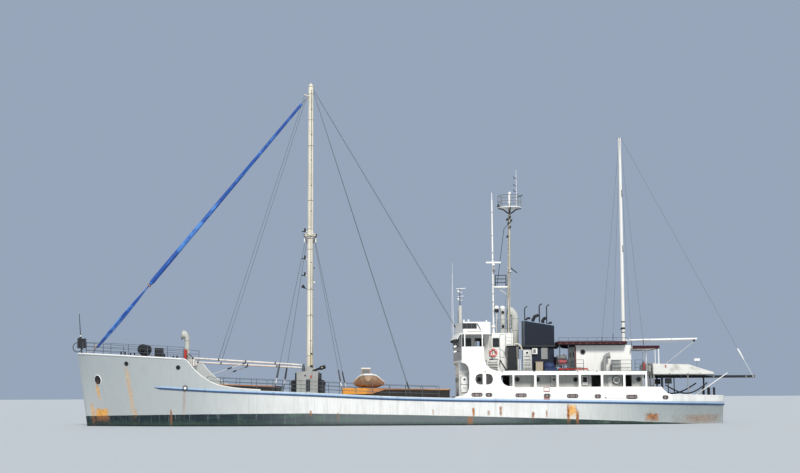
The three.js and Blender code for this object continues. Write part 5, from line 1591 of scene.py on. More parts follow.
ball(bm, (4.45, -0.2, 5.32), 0.105, 0, (1, 1, 0.9), 24)
ball(bm, (4.31, 0, 4.46), 0.10, 0, (1, 1, 0.8), 20)
stack(bm, POST_X, -0.3, ((5.15, 5.24, 0.12, 0.12, 3),), 24)
stack(bm, 4.45, -0.2, ((4.10, 5.12, 0.035, 0.03, 3),), 12)
stack(bm, 4.45, -0.2, ((5.10, 5.24, 0.09, 0.10, 1),), 20)
for z in (5.08, 4.44):
    drum(bm, (POST_X, -0.40, z), (POST_X, -0.425, z), 0.085, 0.085, 24, 1)
    hoop(bm, (POST_X, -0.424, z), ACROSS, 0.088, 0.012, 3, 28, 6)
for z in (4.20, 4.40, 4.60, 4.80, 5.0):
    hoop(bm, (POST_X, -0.3, z), UP, 0.112, 0.006, 3, 24, 5)
piece("chart_house_fittings", bm, [bright_white, black, rail_grey, pale_grey])

# Rails with a canvas dodger and a lifebuoy at the after end of the bridge, with the steps up from
# the boat deck on both sides
STEPS_Y = 1.55
bm = bmesh.new()
for side in SIDES:
    y = side * 1.37
    railing(bm, [(3.80, y, 2.85), (4.14, y, 2.85), (4.48, y, 2.85)], 1)
    block(bm, (3.82, y - 0.006, 2.95), (4.47, y + 0.006, 3.40))
    y = side * 1.56
    for i in range(4):
        z = 2.46 + i * 0.125
        block(bm, (3.90, y - 0.13 + 0.02 * i, z), (4.36, y + 0.09, z + 0.022))
    for x in (3.90, 4.36):
        post(bm, x, y, 2.36, 2.86, 0.012, 0.1)
    y = side * STEPS_Y
    for edge in (y - 0.1, y + 0.1):
        sweep(bm, [(4.46, edge, 2.88), (4.76, edge, 2.37)], 0.02, 8, 2)
    for i in range(4):
        share = (i + 0.5) / 4
        x, z = 4.46 + 0.3 * share, 2.88 - 0.51 * share
        block(bm, (x - 0.04, y - 0.1, z - 0.008), (x + 0.05, y + 0.1, z + 0.008), 2)
    y = side * 1.68
    sweep(bm, [(4.44, y, 3.35), (4.60, y, 3.28), (4.85, y, 2.75)], 0.009, 8, 2)
piece("bridge_steps", bm, [bright_white, rail_grey, black])
lifebuoy_red = paint("lifebuoy red", (0.60, 0.15, 0.13), 0.2, 0.1, 0.0)
bm = bmesh.new()
for side in SIDES:
    lifebuoy(bm, Vector((4.169, side * 1.44, 3.20)), 0.148, 0.045, 40, 0.04, 0.013, 16, 6)
    post(bm, 4.169, side * 1.42, 3.20, 3.33, 0.015, 0.012, 1)
piece("bridge_lifebuoys", bm, [lifebuoy_red, buoy_white])

# Funnel and its casing in navy sheet, with a light blue edge, black exhaust pipes and elbows
navy = paint("funnel navy", (0.010, 0.016, 0.030), 0.1, 0.1, 0.02)
funnel_blue = paint("funnel blue edge", (0.24, 0.32, 0.44), 0.15, 0.2, 0.05)
casing_shade = paint("casing paint", (0.012, 0.02, 0.04), 0.1, 0.2, 0.1)
FUNNEL_SLOPE = 0.171


def funnel_finish(face):
    middle = face.calc_center_median()
    top = 4.712 - (middle.x - 5.668) * FUNNEL_SLOPE
    if middle.z > top + 0.004 and face.normal.z < 0.99:
        return 1
    return 2 if middle.z < 3.52 else 0


dress_by("funnel", [navy, black, casing_shade], funnel_finish, 0.005)
bm = bmesh.new()
for side in SIDES:
    for y, points, thick, facets, index in (
        (0.563, ((5.66, 4.70), (7.05, 4.463)), 0.018, 8, 0),
        (0.563, ((5.655, 3.54), (5.668, 4.70)), 0.009, 8, 0),
        (0.563, ((7.045, 3.54), (7.052, 4.463)), 0.008, 8, 0),
        (0.563, ((5.66, 3.56), (7.04, 3.56)), 0.018, 8, 2),
        (0.86, ((5.45, 3.50), (7.36, 3.50)), 0.055, 12, 1),
        (1.10, ((7.56, 3.53), (7.95, 3.50)), 0.05, 12, 1),
    ):
        sweep(bm, [(x, side * y, z) for x, z in points], thick, facets, index)
    post(bm, 6.325, side * 0.563, 3.935, 3.955, 0.125, 0.006, 1)
for x, z in ((5.66, 4.70), (7.05, 4.463)):
    sweep(bm, [(x, -0.563, z), (x, 0.563, z)], 0.024, 8)
for x, y, rise, reach in ((5.84, 0.22, 0.18, 0.2), (6.88, 0.18, 0.14, 0.16)):
    foot = Vector((x, y, 4.70 - (x - 5.668) * FUNNEL_SLOPE))
    bends = ((0, -0.03), (0, rise * 0.6), (reach * 0.35, rise), (reach, rise))
    sweep(bm, [foot + Vector((dx, 0, dz)) for dx, dz in bends], 0.05, 12, 1)
piece("funnel_trim", bm, [funnel_blue, black, navy])

# Gear in the shelter under the funnel: engine-room vents, a fire-pump on its bed, lockers and
# boxes of painted plate, all bolted to the boat deck or the casing
engine_red = paint("engine red", (0.45, 0.09, 0.10), 0.3, 0.2, 0.2)
stone_grey = paint("galvanised", (0.33, 0.34, 0.34), 0.4, 0.3, 0.2)
beige = paint("beige paint", (0.48, 0.41, 0.31), 0.4, 0.3, 0.2)
dark_red = paint("oxide red", (0.14, 0.025, 0.022), 0.3, 0.2, 0.3)
blue_cloth = paint("blue canvas", (0.03, 0.05, 0.13), 0.2, 0.0, 0.0)
# Columns: low and high x, near and far distance from the centreline, low and high z, material
SHELTER_BOXES = (
    (6.40, 6.70, 0.79, 0.845, 2.92, 3.44, 0), (6.66, 6.70, 0.786, 0.849, 2.92, 3.40, 1),
    (5.99, 6.22, 0.79, 0.93, 3.15, 3.41, 2), (6.03, 6.15, 0.786, 0.934, 3.19, 3.37, 1),
    (6.12, 6.44, 0.82, 1.10, 2.37, 2.78, 3), (6.10, 6.46, 0.81, 1.11, 2.78, 2.80, 3),
    (6.50, 7.05, 0.84, 1.30, 2.37, 2.52, 4), (7.02, 7.60, 0.99, 1.25, 2.62, 2.66, 1),
    (7.10, 8.40, 1.45, 1.59, 2.42, 2.49, 8), (7.25, 7.30, 1.46, 1.58, 2.35, 2.42, 1),
    (8.40, 8.45, 1.46, 1.58, 2.35, 2.42, 1), (7.885, 7.935, 1.19, 1.222, 2.50, 3.48, 6),
)
BED_Y = 1.12
bm = bmesh.new()
for side in SIDES:
    for x0, x1, near, far, z0, z1, index in SHELTER_BOXES:
        low, high = sorted((side * near, side * far))
        block(bm, (x0, low, z0), (x1, high, z1), index)
    for i in range(5):
        z = 2.97 + 0.09 * i
        post(bm, 6.53, side * 0.8175, z, z + 0.015, 0.10, 0.0315, 1)
    ball(bm, (6.74, side * 1.08, 2.58), 0.2, 4, (1.35, 1.0, 1.0), 20)
    bed = side * BED_Y
    drum(bm, (7.08, bed, 2.98), (7.52, bed, 2.98), 0.10, 0.10, 20, 1)
    drum(bm, (7.12, bed, 2.78), (7.50, bed, 2.78), 0.105, 0.105, 20, 5)
    for x in (7.06, 7.12, 7.50, 7.55):
        drum(bm, (x, bed, 2.78), (x + 0.02, bed, 2.78), 0.13, 0.13, 20, 1)
    for x in (7.04, 7.56):
        for dy in (-0.11, 0.11):
            post(bm, x, bed + dy, 2.35, 2.64, 0.015, 0.015, 1)
    stack(bm, 7.40, bed, ((3.0, 3.14, 0.03, 0.045, 1),), 14)
    elbow = ((5.16, 3.52), (5.16, 3.60), (5.30, 3.60), (5.44, 3.50), (5.48, 3.30))
    sweep(bm, [(x, side * 1.3, z) for x, z in elbow], 0.035, 10, 7)
    for x in (5.30, 5.38):
        sweep(bm, [(x, side * 1.40, 2.40), (x, side * 1.40, 2.92)], 0.022, 8, 2)
shades = [stone_grey, frame_grey, bright_white, beige, blue_cloth, engine_red, dark_red, cream, signal_red]
piece("funnel_shelter_gear", bm, shades, eased=0.004)

# Lockers abaft the bridge: a tall black one with a flared lid, and a white ventilation trunk
def locker_finish(face):
    middle = face.calc_center_median()
    if middle.z < 2.42:
        return 2
    return 0 if middle.x < 5.36 else 1


dress_by("deck_lockers", [black, louvre_white, stone_grey], locker_finish, 0.008)
bm = bmesh.new()
porthole(bm, (5.686, -1.562, 3.185), (0, -1, 0), 0.07)
block(bm, (4.86, -1.51, 2.50), (5.21, -1.50, 3.42), 2)
for z in (2.46, 2.60, 2.74, 2.88, 3.02):
    block(bm, (5.55, -1.575, z), (5.83, -1.55, z + 0.016), 2)
for z in (2.7, 3.2):
    block(bm, (4.87, -1.52, z), (4.93, -1.50, z + 0.03), 1)
block(bm, (5.16, -1.525, 2.92), (5.18, -1.50, 3.02), 1)
piece("locker_fittings", bm, [bright_white, glass, black])

# Cowl ventilators of spun steel, grey outside, on their own pipes; the black inside each mouth, and the
# black disc in the after cowls' mouths, are painted shade.
# Columns: node, x, height where the mouth begins, slot
COWLS = (("cowl_midships", 5.34, 4.95, "grey_paint"), ("cowl_forward", -9.87, 3.98, "white_paint"))
AFT_COWL_X, AFT_COWL_Y = 9.16, 1.5


def cowl_finish(x, z):
    def choose(face):
        middle = face.calc_center_median()
        inside = middle.x < x - 0.1 and face.normal.x < -0.25 and abs(face.normal.z) < 0.75
        return 1 if inside and middle.z > z else 0
    return choose


for node, x, z, slot in COWLS:
    dress_by(node, [pale_grey, black], cowl_finish(x, z), None)
bm = bmesh.new()
bands(bm, 5.34, 0.56, (2.9, 3.6, 4.3, 4.85), 0.176, 0.009, 0, 28)
bands(bm, -9.87, 0, (3.1, 3.5, 3.88), 0.116, 0.008)
for x, y, z, radius, mouth, thick in (
    (5.34, 0.56, 5.03, 0.175, 0.27, 0.013), (-9.87, 0, 4.05, 0.115, 0.23, 0.012),
):
    hoop(bm, (x - 1.9 * radius, y, z + 0.9 * radius), (-1, 0, 0.12), mouth, thick, 0, 32)
for side in SIDES:
    y = side * AFT_COWL_Y
    bends = ((0, 2.34), (0, 2.84), (0.03, 2.97), (0.13, 3.04), (0.24, 3.05))
    sweep(bm, [(AFT_COWL_X + dx, y, z) for dx, z in bends], (0.08, 0.08, 0.085, 0.115, 0.14), 20)
    hoop(bm, (9.40, y, 3.05), (1, 0, 0.1), 0.14, 0.012, 0, 28, 6)
    # The black disc closes the mouth as painted shade
    drum(bm, (9.401, y, 3.05), (9.404, y, 3.05), 0.132, index=1)
    bands(bm, AFT_COWL_X, y, (2.5, 2.72), 0.082, 0.007)
piece("cowl_trim", bm, [stone_grey, black])

# Fire hose box at the forecastle's break, with the hose hung in loops down the bulkhead
bm = bmesh.new()
block(bm, (-9.86, -0.95, 3.02), (-9.74, -0.62, 3.44))
for x, y, z, radius, thick, shape in (
    (-9.60, -0.85, 2.86, 0.30, 0.013, (0.45, 1.15)), (-9.60, -0.94, 2.86, 0.30, 0.013, (0.45, 1.15)),
    (-9.66, -0.80, 2.95, 0.28, 0.012, (0.4, 1.1)),
):
    hoop(bm, (x, y, z), ACROSS, radius, thick, 1, 32, 6, shape)
piece("fire_hose", bm, [signal_red, black], eased=0.004)

# Signal mast, a tapered steel tube with climbing irons, cables down its side, a yard and a
# railed nest, with the navigation lights on brackets before it
MAST_FOOT, MAST_HEAD = Vector((5.0, 0, 4.105)), Vector((5.15, 0, 10.76))
NEST_X = 5.14


def signal_finish(face):
    middle = face.calc_center_median()
    far = math.hypot(middle.x - NEST_X, middle.y)
    if middle.z > 10.03 and far > 0.45:
        return 1 if middle.z < 10.6 or far < 0.6 and middle.x < 5.4 else 2
    if middle.z > 9.97:
        return 1 if far > 0.3 and face.normal.z < -0.5 else 2
    return 2 if 6.28 < middle.z < 6.34 and far > 0.1 and middle.x < 4.95 else 0


def up_mast(z):
    return MAST_FOOT.lerp(MAST_HEAD, (z - MAST_FOOT.z) / (MAST_HEAD.z - MAST_FOOT.z))


dress_by("signal_mast", [cream, frame_grey, bright_white], signal_finish, 0.004)
bm = bmesh.new()
for i in range(30):
    iron = up_mast(4.35 + i * 0.19)
    sweep(bm, [iron + Vector((-0.05, y, 0)) for y in (-0.16, 0.16)], 0.008, 6)
for dy, dx in ((-0.075, 0.03), (0.075, 0.03), (-0.07, -0.04)):
    cable = [up_mast(4.2 + i * 0.6) + Vector((dx + 0.006 * (i % 2), dy, 0)) for i in range(11)]
    sweep(bm, cable, 0.011, 6, 1)
for along, aside in spokes(4):
    stay = [(NEST_X + along * out, aside * out, z) for out, z in ((0.06, 9.74), (0.3, 9.93), (0.54, 9.975))]
    sweep(bm, stay, (0.03, 0.03, 0.02), 8, 1)
for z, dx in ((9.56, 0.02), (9.46, -0.10), (9.40, 0.08), (9.28, -0.04), (9.10, 0.03), (8.66, -0.08)):
    lamp = up_mast(z) + Vector((dx, 0, 0))
    drum(bm, lamp - ACROSS * 0.16, lamp + ACROSS * 0.16, 0.05, 0.05, 14, 1)
sweep(bm, [up_mast(9.3), (4.86, 0, 9.02), (4.50, 0, 6.36)], 0.012, 6, 1)
for low, high in ((7.22, 6.94), (7.26, 6.96)):
    sweep(bm, [up_mast(low), (5.44, 0, high)], 0.012, 6, 1)
block(bm, (4.36, -0.14, 6.26), (4.97, 0.14, 6.30), 3)
stack(bm, 4.60, -0.25, ((10.02, 10.16, 0.07, 0.03, 1),), 14)
sweep(bm, [(5.50, 0.05, 10.52), (5.66, 0.0, 10.56), (5.76, -0.03, 10.62)], 0.02, 8, 1)
for z in (10.78, 11.05, 11.4):
    sweep(bm, [(5.47, 0, z), (5.36, 0, z + 0.02), (5.34, 0, z + 0.10)], 0.016, 8, 1)
for side in SIDES:
    railing(bm, [(4.42, side * 0.10, 6.33), (4.92, side * 0.10, 6.33)], 1)
    lamp = Vector((5.08, side * 0.55, 7.02))
    drum(bm, lamp, lamp - UP * 0.09, 0.04, 0.045, 16, 2)
    drum(bm, lamp - UP * 0.09, lamp - UP * 0.11, 0.05, 0.05, 16, 1)
    sweep(bm, [(5.10, side * 0.57, 7.1), (4.9, side * 0.9, 5.2), (4.75, side * 0.95, 4.16)], 0.004, 5, 1)
piece("signal_mast_fittings", bm, [cream, black, lamp_glass, bright_white])

# Radar pole beside it, with the scanner turning on its own bearing
RADAR_X = 4.31
dress("radar_pole", [bright_white], 0.003)
dress("radar_scanner", [bright_white], 0.008)
bm = bmesh.new()
bands(bm, RADAR_X, 0, (5.4, 6.4, 7.6, 8.7, 9.8), 0.042, 0.008, 1, 20)
sweep(bm, [(4.355, 0.03, 4.5), (4.355, 0.02, 7.2)], 0.009, 6, 1)
stack(bm, RADAR_X, 0, ((10.37, 10.74, 0.022, 0.012, 0),), 10)
stack(bm, 4.37, -0.1, ((6.98, 7.10, 0.05, 0.05, 1),), 14)
ball(bm, (4.37, -0.1, 7.15), 0.05)
for z in (5.6, 6.0, 7.9):
    drum(bm, (RADAR_X, -0.04, z), (RADAR_X, -0.10, z), 0.018, index=1)
piece("radar_pole_fittings", bm, [bright_white, frame_grey])

# Cabin on the boat deck, plate with portholes, a door and a rail beside it. The awnings over it
# and abaft it are canvas drawn flat over a pipe frame
dress("boat_deck_house", [bright_white], 0.008)
CABIN_RAILS = (((9.44, 2.33), (9.86, 2.33), (10.35, 2.33)), ((7.3, 2.35), (7.75, 2.35), (8.2, 2.35)))
bm = bmesh.new()
for side in SIDES:
    porthole(bm, (8.243, side * 1.20, 3.22), (0, side, 0), 0.105)
    plate_at(bm, 9.50, 9.84, 2.36, 2.85, side * 1.42, 0.2, 3)
    for feet in CABIN_RAILS:
        railing(bm, [(x, side * 1.66, z) for x, z in feet], 2)
porthole(bm, (9.0, 1.20, 3.22), (0, 1, 0), 0.105)
edge_bar(bm, 9.30, 9.70, 2.40, 3.34, 0.03, 1.203, 0.011, 1)
for y in (-0.6, 0.6):
    porthole(bm, (7.91, y, 3.15), (-1, 0, 0), 0.105)
piece("cabin_fittings", bm, [frame_grey, glass, rail_grey, stone_grey])

maroon, shader, place = plain("maroon canvas", (0.05, 0.014, 0.017), 0.85)
shader.inputs["Specular IOR Level"].default_value = 0.15
worn = noisy(place, 3.0, 5.0)
joined(shader, "Base Color", tint(worn, (0.032, 0.010, 0.015), (0.080, 0.026, 0.030)))
dress("awning_forward", [maroon], 0.01)
AWNING_FROM, AWNING_TO = 7.08, 10.18
EAVE_LOW, EAVE_HIGH = 3.56, 3.85
bm = bmesh.new()
for side in SIDES:
    y = side * 1.60
    sweep(bm, [(AWNING_FROM, y, EAVE_HIGH), (AWNING_TO, y, EAVE_HIGH)], 0.008, 6)
    # The black rail along the foot of each eave stands for the shadow under the awning's edge, as painted
    # shadow
    sweep(bm, [(AWNING_FROM, y, EAVE_LOW), (AWNING_TO, y, EAVE_LOW)], 0.02, 8, 1)
    for i in range(8):
        x = 7.12 + i * 0.43
        sweep(bm, [(x, y, 3.68), (x, y, EAVE_HIGH)], 0.007, 6)
    for x in (7.15, 7.55):
        stack(bm, x, side * 1.55, ((2.34, EAVE_LOW, 0.018, 0.018, 0),), 10)
    for i in range(11):
        x = 7.15 + i * 0.3
        sweep(bm, [(x, y + side * 0.02, 3.57), (x + 0.05, y + side * 0.022, 3.62)], 0.004, 5, 2)
for x in (7.2, 8.0, 8.8, 9.6, 10.1):
    sweep(bm, [(x, -1.58, 3.565), (x, 1.58, 3.565)], 0.016, 8, 1)
piece("awning_frame", bm, [rail_grey, black, tan_rope])

# Canopy over the after deck, sewn cloth laced to a pipe frame, with its seams and cords
canopy_cloth, shader, place = plain("canopy cloth", (0.66, 0.66, 0.63), 0.85)
grime = step(noisy(stretched(place, (1, 1, 2.5)), 2.2, 6.0), 0.45, 0.75)
joined(shader, "Base Color", tint(grime, (0.70, 0.70, 0.67), (0.46, 0.46, 0.42)))
bumped(shader, noisy(stretched(place, (2.0, 5.0, 5.0)), 1.6), 0.02, 0.5)
# Columns: x, half breadth and height of the cloth at three of its frames
CANOPY = ((11.31, 1.65, 2.68), (12.96, 1.5, 2.64), (14.24, 0.8, 2.3))
RIM_Z = 2.185


def canopy_finish(face):
    return 1 if face.calc_center_median().z < 2.16 else 0


def canopy_rib(x, half, top, out=0.004):
    """Points over the cloth from rim to rim at one frame."""
    half, top = half + out, top + out
    arch = ((half, RIM_Z), (half, top - 0.06), (half - 0.11, top))
    points = [(x, -y, z) for y, z in arch] + [(x, 0, top + 0.025)]
    return points + [(x, y, z) for y, z in reversed(arch)]


dress_by("aft_canopy", [canopy_cloth, stone_grey], canopy_finish, 0.015)
bm = bmesh.new()
for x, half, top, thick in (
    (12.95, 1.5, 2.64, 0.008), (14.23, 0.8, 2.3, 0.008), (11.33, 1.65, 2.68, 0.010),
):
    sweep(bm, canopy_rib(x, half, top), thick, 6)
for side in SIDES:
    sweep(bm, [(x, side * (half - 0.008), 2.19) for x, half, top in CANOPY], 0.026, 8, 1)
    for (x0, half0, top0), (x1, half1, top1) in zip(CANOPY, CANOPY[1:]):
        for i in range(9):
            share = i / 9
            x = x0 + (x1 - x0) * share
            y = side * (half0 + (half1 - half0) * share + 0.004)
            sweep(bm, [(x, y, 2.18), (x + 0.05, y + side * 0.004, 2.235)], 0.004, 5, 2)
    for x, wide in ((12.02, 0.06), (13.45, 0.04)):
        y = side * (1.65 - (x - 11.31) * 0.091)
        block(bm, (x, y - 0.008, 2.22), (x + wide, y + 0.008, 2.25), 3)
    for x0, x1, z, index in ((11.90, 11.915, 2.48, 3), (11.86, 11.90, 2.50, 5)):
        block(bm, (x0, side * 1.605 - 0.006, z), (x1, side * 1.605 + 0.006, 2.62), index)
stack(bm, 13.46, -0.9, ((2.50, 2.82, 0.012, 0.012, 1),), 8)
block(bm, (13.34, -0.97, 2.81), (13.58, -0.83, 2.91), 4)
for x in (11.36, 12.1, 12.9):
    sweep(bm, [(x, -1.56, 2.23), (x, 1.56, 2.23)], 0.018, 8, 1)
shades = [canopy_cloth, frame_grey, tan_rope, port_mauve, bright_white, signal_red]
piece("canopy_trim", bm, shades)

# Spar along the centreline over the stern, a squared timber payed with tar, with its forestay
# eyes and a sheave at its end
SPAR_LOW, SPAR_HIGH = 2.045, 2.17
dress("stern_spar", [black], 0.01)
bm = bmesh.new()
for x in (11.4, 12.9, 14.4, 15.9):
    for z in (SPAR_LOW, SPAR_HIGH):
        post(bm, x, 0, z - 0.008, z + 0.008, 0.03, 0.06)
    for side in SIDES:
        post(bm, x, side * 0.058, SPAR_LOW, SPAR_HIGH, 0.03, 0.006)
drum(bm, (16.22, -0.075, 2.11), (16.22, 0.075, 2.11), 0.05, 0.05, 20, 1)
hoop(bm, (16.255, 0, 2.18), ACROSS, 0.035, 0.009, 1, 20, 6)
piece("spar_bands", bm, [frame_grey, stone_grey])

# Ensign staff, a white pole raked over the quarter in a socket on the bulwark
STAFF_FOOT, STAFF_HEAD = Vector((13.09, -0.70, 1.05)), Vector((14.86, -0.70, 2.25))
bm = bmesh.new()
turned(bm, STAFF_FOOT, STAFF_HEAD, (0, 0.5, 1), (0.028, 0.024, 0.018), 14)
ball(bm, STAFF_HEAD, 0.03, 0, (1, 1, 0.8))
drum(bm, STAFF_FOOT, STAFF_FOOT.lerp(STAFF_HEAD, 0.12), 0.04, 0.04, 16, 1)
ball(bm, STAFF_HEAD.lerp(STAFF_FOOT, 0.03) + UP * 0.03, 0.018, 1)
piece("ensign_staff", bm, [bright_white, frame_grey])

# Shade awning abaft the cabin, maroon canvas over the house's overhang, on white stanchions
bm = bmesh.new()
block(bm, (10.435, -1.52, 3.455), (11.66, 1.52, 3.485))
block(bm, (11.64, -1.51, 3.35), (11.662, 1.51, 3.485))
for side in SIDES:
    block(bm, (10.435, side * 1.508 - 0.012, 3.35), (11.66, side * 1.508 + 0.012, 3.485))
    for x, y, wide in ((11.61, 1.48, 0.026), (11.46, 1.44, 0.016)):
        stack(bm, x, side * y, ((2.34, 3.44, wide, wide, 1),), 12)
piece("shade_awning", bm, [maroon, bright_white], eased=0.004)

# Things on the after end of the boat deck: a fire bottle, two boxes and a lashed drum
BOTTLE_X, BOTTLE_Y = 10.98, -1.3
bm = bmesh.new()
stack(bm, BOTTLE_X, BOTTLE_Y, ((2.40, 2.68, 0.065, 0.065, 0),), 20)
stack(bm, BOTTLE_X, BOTTLE_Y, ((2.70, 2.78, 0.02, 0.02, 1),), 10)
ball(bm, (BOTTLE_X, BOTTLE_Y, 2.69), 0.065, 0, (1, 1, 0.6))
sweep(bm, [(BOTTLE_X, BOTTLE_Y, 2.77), (10.90, -1.32, 2.74), (10.90, -1.33, 2.55)], 0.012, 8, 1)
for x0, x1, z1 in ((11.02, 11.12, 2.66), (11.14, 11.27, 2.60)):
    block(bm, (x0, -1.45, 2.33), (x1, -1.2, z1), 2)
for side in SIDES:
    railing(bm, [(10.5, side * 1.7, 2.33), (10.85, side * 1.7, 2.33)], 3)
piece("boat_deck_gear", bm, [engine_red, black, stone_grey, rail_grey], eased=0.006)

# Gear on the after deck: a post and a box under the canopy, a slack hose and its hooks, bollards
DECK_Z = station(11.9)[1]
bm = bmesh.new()
for side in SIDES:
    post(bm, 11.765, side * 1.3, DECK_Z, 2.2, 0.045, 0.045)
    post(bm, 12.06, side * 1.25, 1.78, 2.02, 0.13, 0.12)
    sweep(bm, [(12.05, side * 1.25, DECK_Z), (12.05, side * 1.25, 1.8)], 0.022, 8)
    for x in (11.03, 11.15, 11.27):
        post(bm, x, side * 1.9, station(11.1)[1], 2.15, 0.03, 0.03, 1)
    hose = []
    for i in range(15):
        share = i / 14
        sag = 0.42 * math.sin(math.pi * share)
        hose.append((11.85 + 2.0 * share, side * (1.62 - 0.55 * share ** 2), 1.72 - sag + 0.1 * share))
    sweep(bm, hose, 0.03)
    for x in (14.05, 14.28):
        foot = Vector((x, side * 0.55, station(14.0)[1]))
        drum(bm, foot, foot + UP * 0.62, 0.05, 0.05, 18)
        drum(bm, foot + UP * 0.60, foot + UP * 0.63, 0.062, 0.062, 18)
    for i in range(7):
        x = 12.15 + i * 0.26
        y = side * (1.95 - 0.05 * i * i * 0.35)
        sweep(bm, [(x, y, 0.95), (x, y, 1.16 + 0.03 * (i % 3)), (x + 0.05, y, 1.2)], 0.015, 6, 1)
for i in range(11):
    share = i / 10
    heap = (12.2 + 1.5 * share, -0.9 + 0.3 * math.sin(7 * share), 1.0 + 0.05 * math.sin(11 * share))
    ball(bm, heap, 0.09, 1, (1.3, 1, 0.6), 12)
piece("after_deck_gear", bm, [black, frame_grey])

# Mizzen mast, a tapered steel tube with bands, its gooseneck and lamp, and wire stays
MIZZEN_FOOT, MIZZEN_TOP = 3.525, 13.31
SPAR_TIP = Vector((16.20, 0, 2.18))
TACKLE_SHARES = (0.11, 0.105, 0.09, 0.065, 0.06, 0)
TACKLE_WIDTHS = (0.012, 0.036, 0.036, 0.024, 0.009, 0.009)


def mizzen_finish(face):
    middle = face.calc_center_median()
    return 1 if middle.z < 3.64 or abs(middle.x - 10.47) < 0.03 else 0


def mizzen_at(z):
    return Vector((10.30 + 0.075 * (z - MIZZEN_FOOT) / (MIZZEN_TOP - MIZZEN_FOOT), 0, z))


dress_by("mizzen_mast", [white, black], mizzen_finish, 0.003)
bm = bmesh.new()
for z, tall in ((4.62, 0.05), (4.30, 0.09), (4.14, 0.04)):
    drum(bm, mizzen_at(z), mizzen_at(z) + UP * tall, 0.088, 0.088, 24, 1)
drum(bm, (10.24, -0.02, 4.31), (10.18, -0.02, 4.31), 0.03, 0.04, 12, 1)
for z in (10.65, 8.05):
    at = mizzen_at(z)
    hoop(bm, at, UP, 0.076, 0.009, 0, 24, 6)
    for side in SIDES:
        cheek = [at + Vector((0.03, side * 0.078, 0.16)), at + Vector((0.05, side * 0.085, -0.16))]
        sweep(bm, cheek, 0.013, 6, 1)
top = mizzen_at(13.30)
for along, aside in spokes(4):
    way = Vector((along, aside, 0))
    sweep(bm, [top + way * 0.07, top + way * 0.12], 0.012, 6, 1)
drum(bm, top - UP * 0.03, top + UP * 0.005, 0.078, 0.078)
for side in SIDES:
    for foot in (Vector((9.55, side * 1.61, 3.70)), Vector((10.95, side * 1.50, 3.47))):
        sweep(bm, [top + Vector((0, side * 0.09, -0.02)), foot], 0.0045, 5, 2)
        way = (top - foot).normalized()
        drum(bm, foot + way * 0.05, foot + way * 0.32, 0.014, 0.014, 10, 1)
sweep(bm, [top + Vector((0.07, 0, 0)), SPAR_TIP.lerp(top, 0.11)], 0.0045, 5, 2)
turned(bm, SPAR_TIP, top, TACKLE_SHARES, TACKLE_WIDTHS, 8)
piece("mizzen_rigging", bm, [bright_white, black, wire])

# Mizzen boom, a painted spar on the gooseneck, with an outhaul block and its sheet made up along
# the underside
BOOM_FOOT, BOOM_HEAD = Vector((10.57, 0, 3.792)), Vector((13.705, 0, 3.85))
dress("mizzen_boom", [bright_white], 0.003)
bm = bmesh.new()
for share in (0.02, 0.3, 0.62, 0.955):
    hoop(bm, BOOM_FOOT.lerp(BOOM_HEAD, share), BOOM_HEAD - BOOM_FOOT, 0.05 - 0.007 * share, 0.007, 1, 20, 6)
at = BOOM_FOOT.lerp(BOOM_HEAD, 0.955)
drum(bm, at + Vector((0, -0.03, -0.085)), at + Vector((0, 0.03, -0.085)), 0.035, 0.035, 18, 2)
post(bm, at.x, 0, at.z - 0.13, at.z - 0.045, 0.05, 0.02, 2)
sheet = [at - UP * 0.1]
for i in range(1, 9):
    share = i / 9
    sheet.append(at.lerp(BOOM_FOOT, share * 0.93) - UP * (0.075 + 0.05 * math.sin(math.pi * share)))
sweep(bm, sheet, 0.009, 6, 3)
piece("mizzen_boom_fittings", bm, [bright_white, frame_grey, black, tan_rope], "mizzen_boom")

# The boom's fall, a rope from the block under its end down to an eye on the canopy's ridge
fall_foot, fall_top = Vector((12.22, 0, 2.70)), at - UP * 0.125
bm = bmesh.new()
sweep(bm, [fall_foot, fall_top], 0.009, 6)
fall = piece("mizzen_boom_fall", bm, [rope_white], None)
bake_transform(fall)
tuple(fall_foot)
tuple(fall_top)

# Propeller of cast bronze on its shaft, the rudder's plate and stock and the stern frame
bronze, shader, place = plain("bronze", (0.30, 0.16, 0.06), 0.35, 1.0)
slime = step(noisy(place, 9.0, 6.0), 0.45, 0.7)
joined(shader, "Base Color", tint(slime, (0.36, 0.20, 0.075), (0.09, 0.10, 0.06)))
dress("propeller", [bronze], 0.003)
for node in ("rudder", "stern_frame"):
    dress(node, [rusted], 0.006)

# Workboat carried on chocks on the after hatch, a planked hull with a white rubbing strake and a
# grey steering console
tan_hull = paint("weathered tan", (0.46, 0.315, 0.215), 0.35, 0.5, 0.04)
console_grey = paint("console grey", (0.22, 0.25, 0.29), 0.3, 0.3, 0.05)
boat_inside = paint("boat inside", (0.40, 0.40, 0.38), 0.4, 0.2, 0.1)
SCREEN_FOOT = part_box("workboat")[1].z
BOAT_X, BOAT_FOOT = -1.47, SCREEN_FOOT - 0.945
# Columns: y, half breadth and height of the rim
BOAT_LINES = (
    (-1.375, 0.15, 0.60), (-1.15, 0.34, 0.562), (-0.925, 0.475, 0.47), (-0.7, 0.6, 0.342),
    (0.1, 0.7, 0.282), (1.19, 0.64, 0.277),
)


def boat_finish(face):
    middle = face.calc_center_median()
    if middle.z > 2.24 and abs(middle.x + 1.61) < 0.32 and 0.15 < middle.y < 0.47:
        return 1 if middle.z < 2.52 else 3
    return 2 if face.normal.z > 0.5 else 0


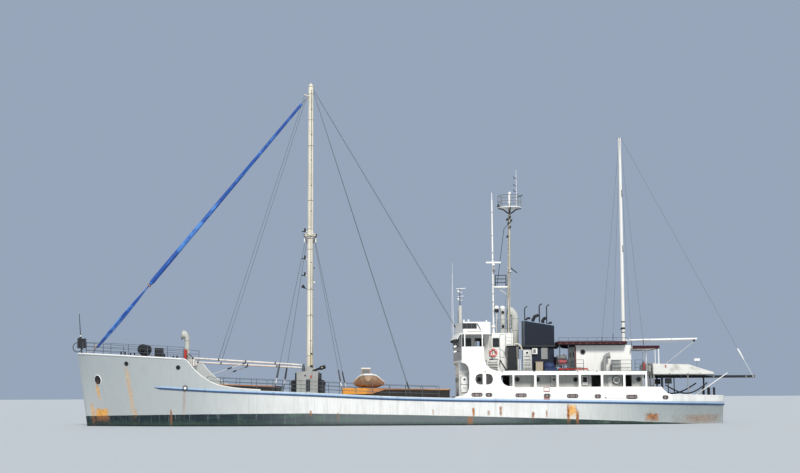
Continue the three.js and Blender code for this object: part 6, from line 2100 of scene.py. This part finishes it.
def boat_rim(out):
    return [Vector((BOAT_X + out * half, y, BOAT_FOOT + top)) for y, half, top in BOAT_LINES]


dress_by("workboat", [tan_hull, console_grey, boat_inside, bright_white], boat_finish, 0.006)
bm = bmesh.new()
rims = {out: boat_rim(out) for out in SIDES}
sweep(bm, rims[-1][::-1] + rims[1], 0.046, 12)
sweep(bm, [rims[1][-1], rims[-1][-1]], 0.035)
for out, rim in rims.items():
    sweep(bm, [at.lerp(Vector((BOAT_X, at.y, at.z)), 0.04) + UP * 0.01 for at in rim], 0.02, 8)
    for i in (1, 3, 5):
        sweep(bm, [rim[i] - Vector((out * 0.02, 0, 0)), rim[i] - UP * 0.16], 0.016, 6, 1)
    for share in (0.30, 0.62):
        strake = []
        for y, half, top in BOAT_LINES:
            keel = 0.30 if y < -1.3 else 0.09 if y < -1.0 else 0.02
            strake.append((BOAT_X + out * (half + 0.003), y, BOAT_FOOT + top - 0.45 * (top - keel) * share))
        sweep(bm, strake, 0.006, 6, 1)
    for y in (-0.5, 0.9):
        post(bm, BOAT_X + out * 0.30, y, BOAT_FOOT - 0.01, BOAT_FOOT + 0.12, 0.05, 0.055, 3)
for y in (-0.45, 0.75):
    post(bm, BOAT_X, y, BOAT_FOOT + 0.20, BOAT_FOOT + 0.225, 0.60, 0.09, 2)
# Columns: low and high x from the boat's middle, low and high y, low and high z, material
for x0, x1, y0, y1, z0, z1, index in (
    (-0.32, 0.04, 0.20, 0.225, -0.01, -0.002, 0), (-0.355, 0.075, 0.195, 0.425, -0.05, 0, 0),
    (-0.31, 0.03, 0.192, 0.20, -0.27, -0.08, 4), (-0.13, 0.13, 1.17, 1.235, -0.825, -0.445, 4),
):
    block(bm, (BOAT_X + x0, y0, SCREEN_FOOT + z0), (BOAT_X + x1, y1, SCREEN_FOOT + z1), index)
hoop(bm, (BOAT_X - 0.14, 0.46, SCREEN_FOOT - 0.3), ACROSS, 0.11, 0.01, 4, 24, 6)
shades = [bright_white, tan_hull, boat_inside, black, frame_grey]
piece("workboat_fittings", bm, shades, eased=0.003)
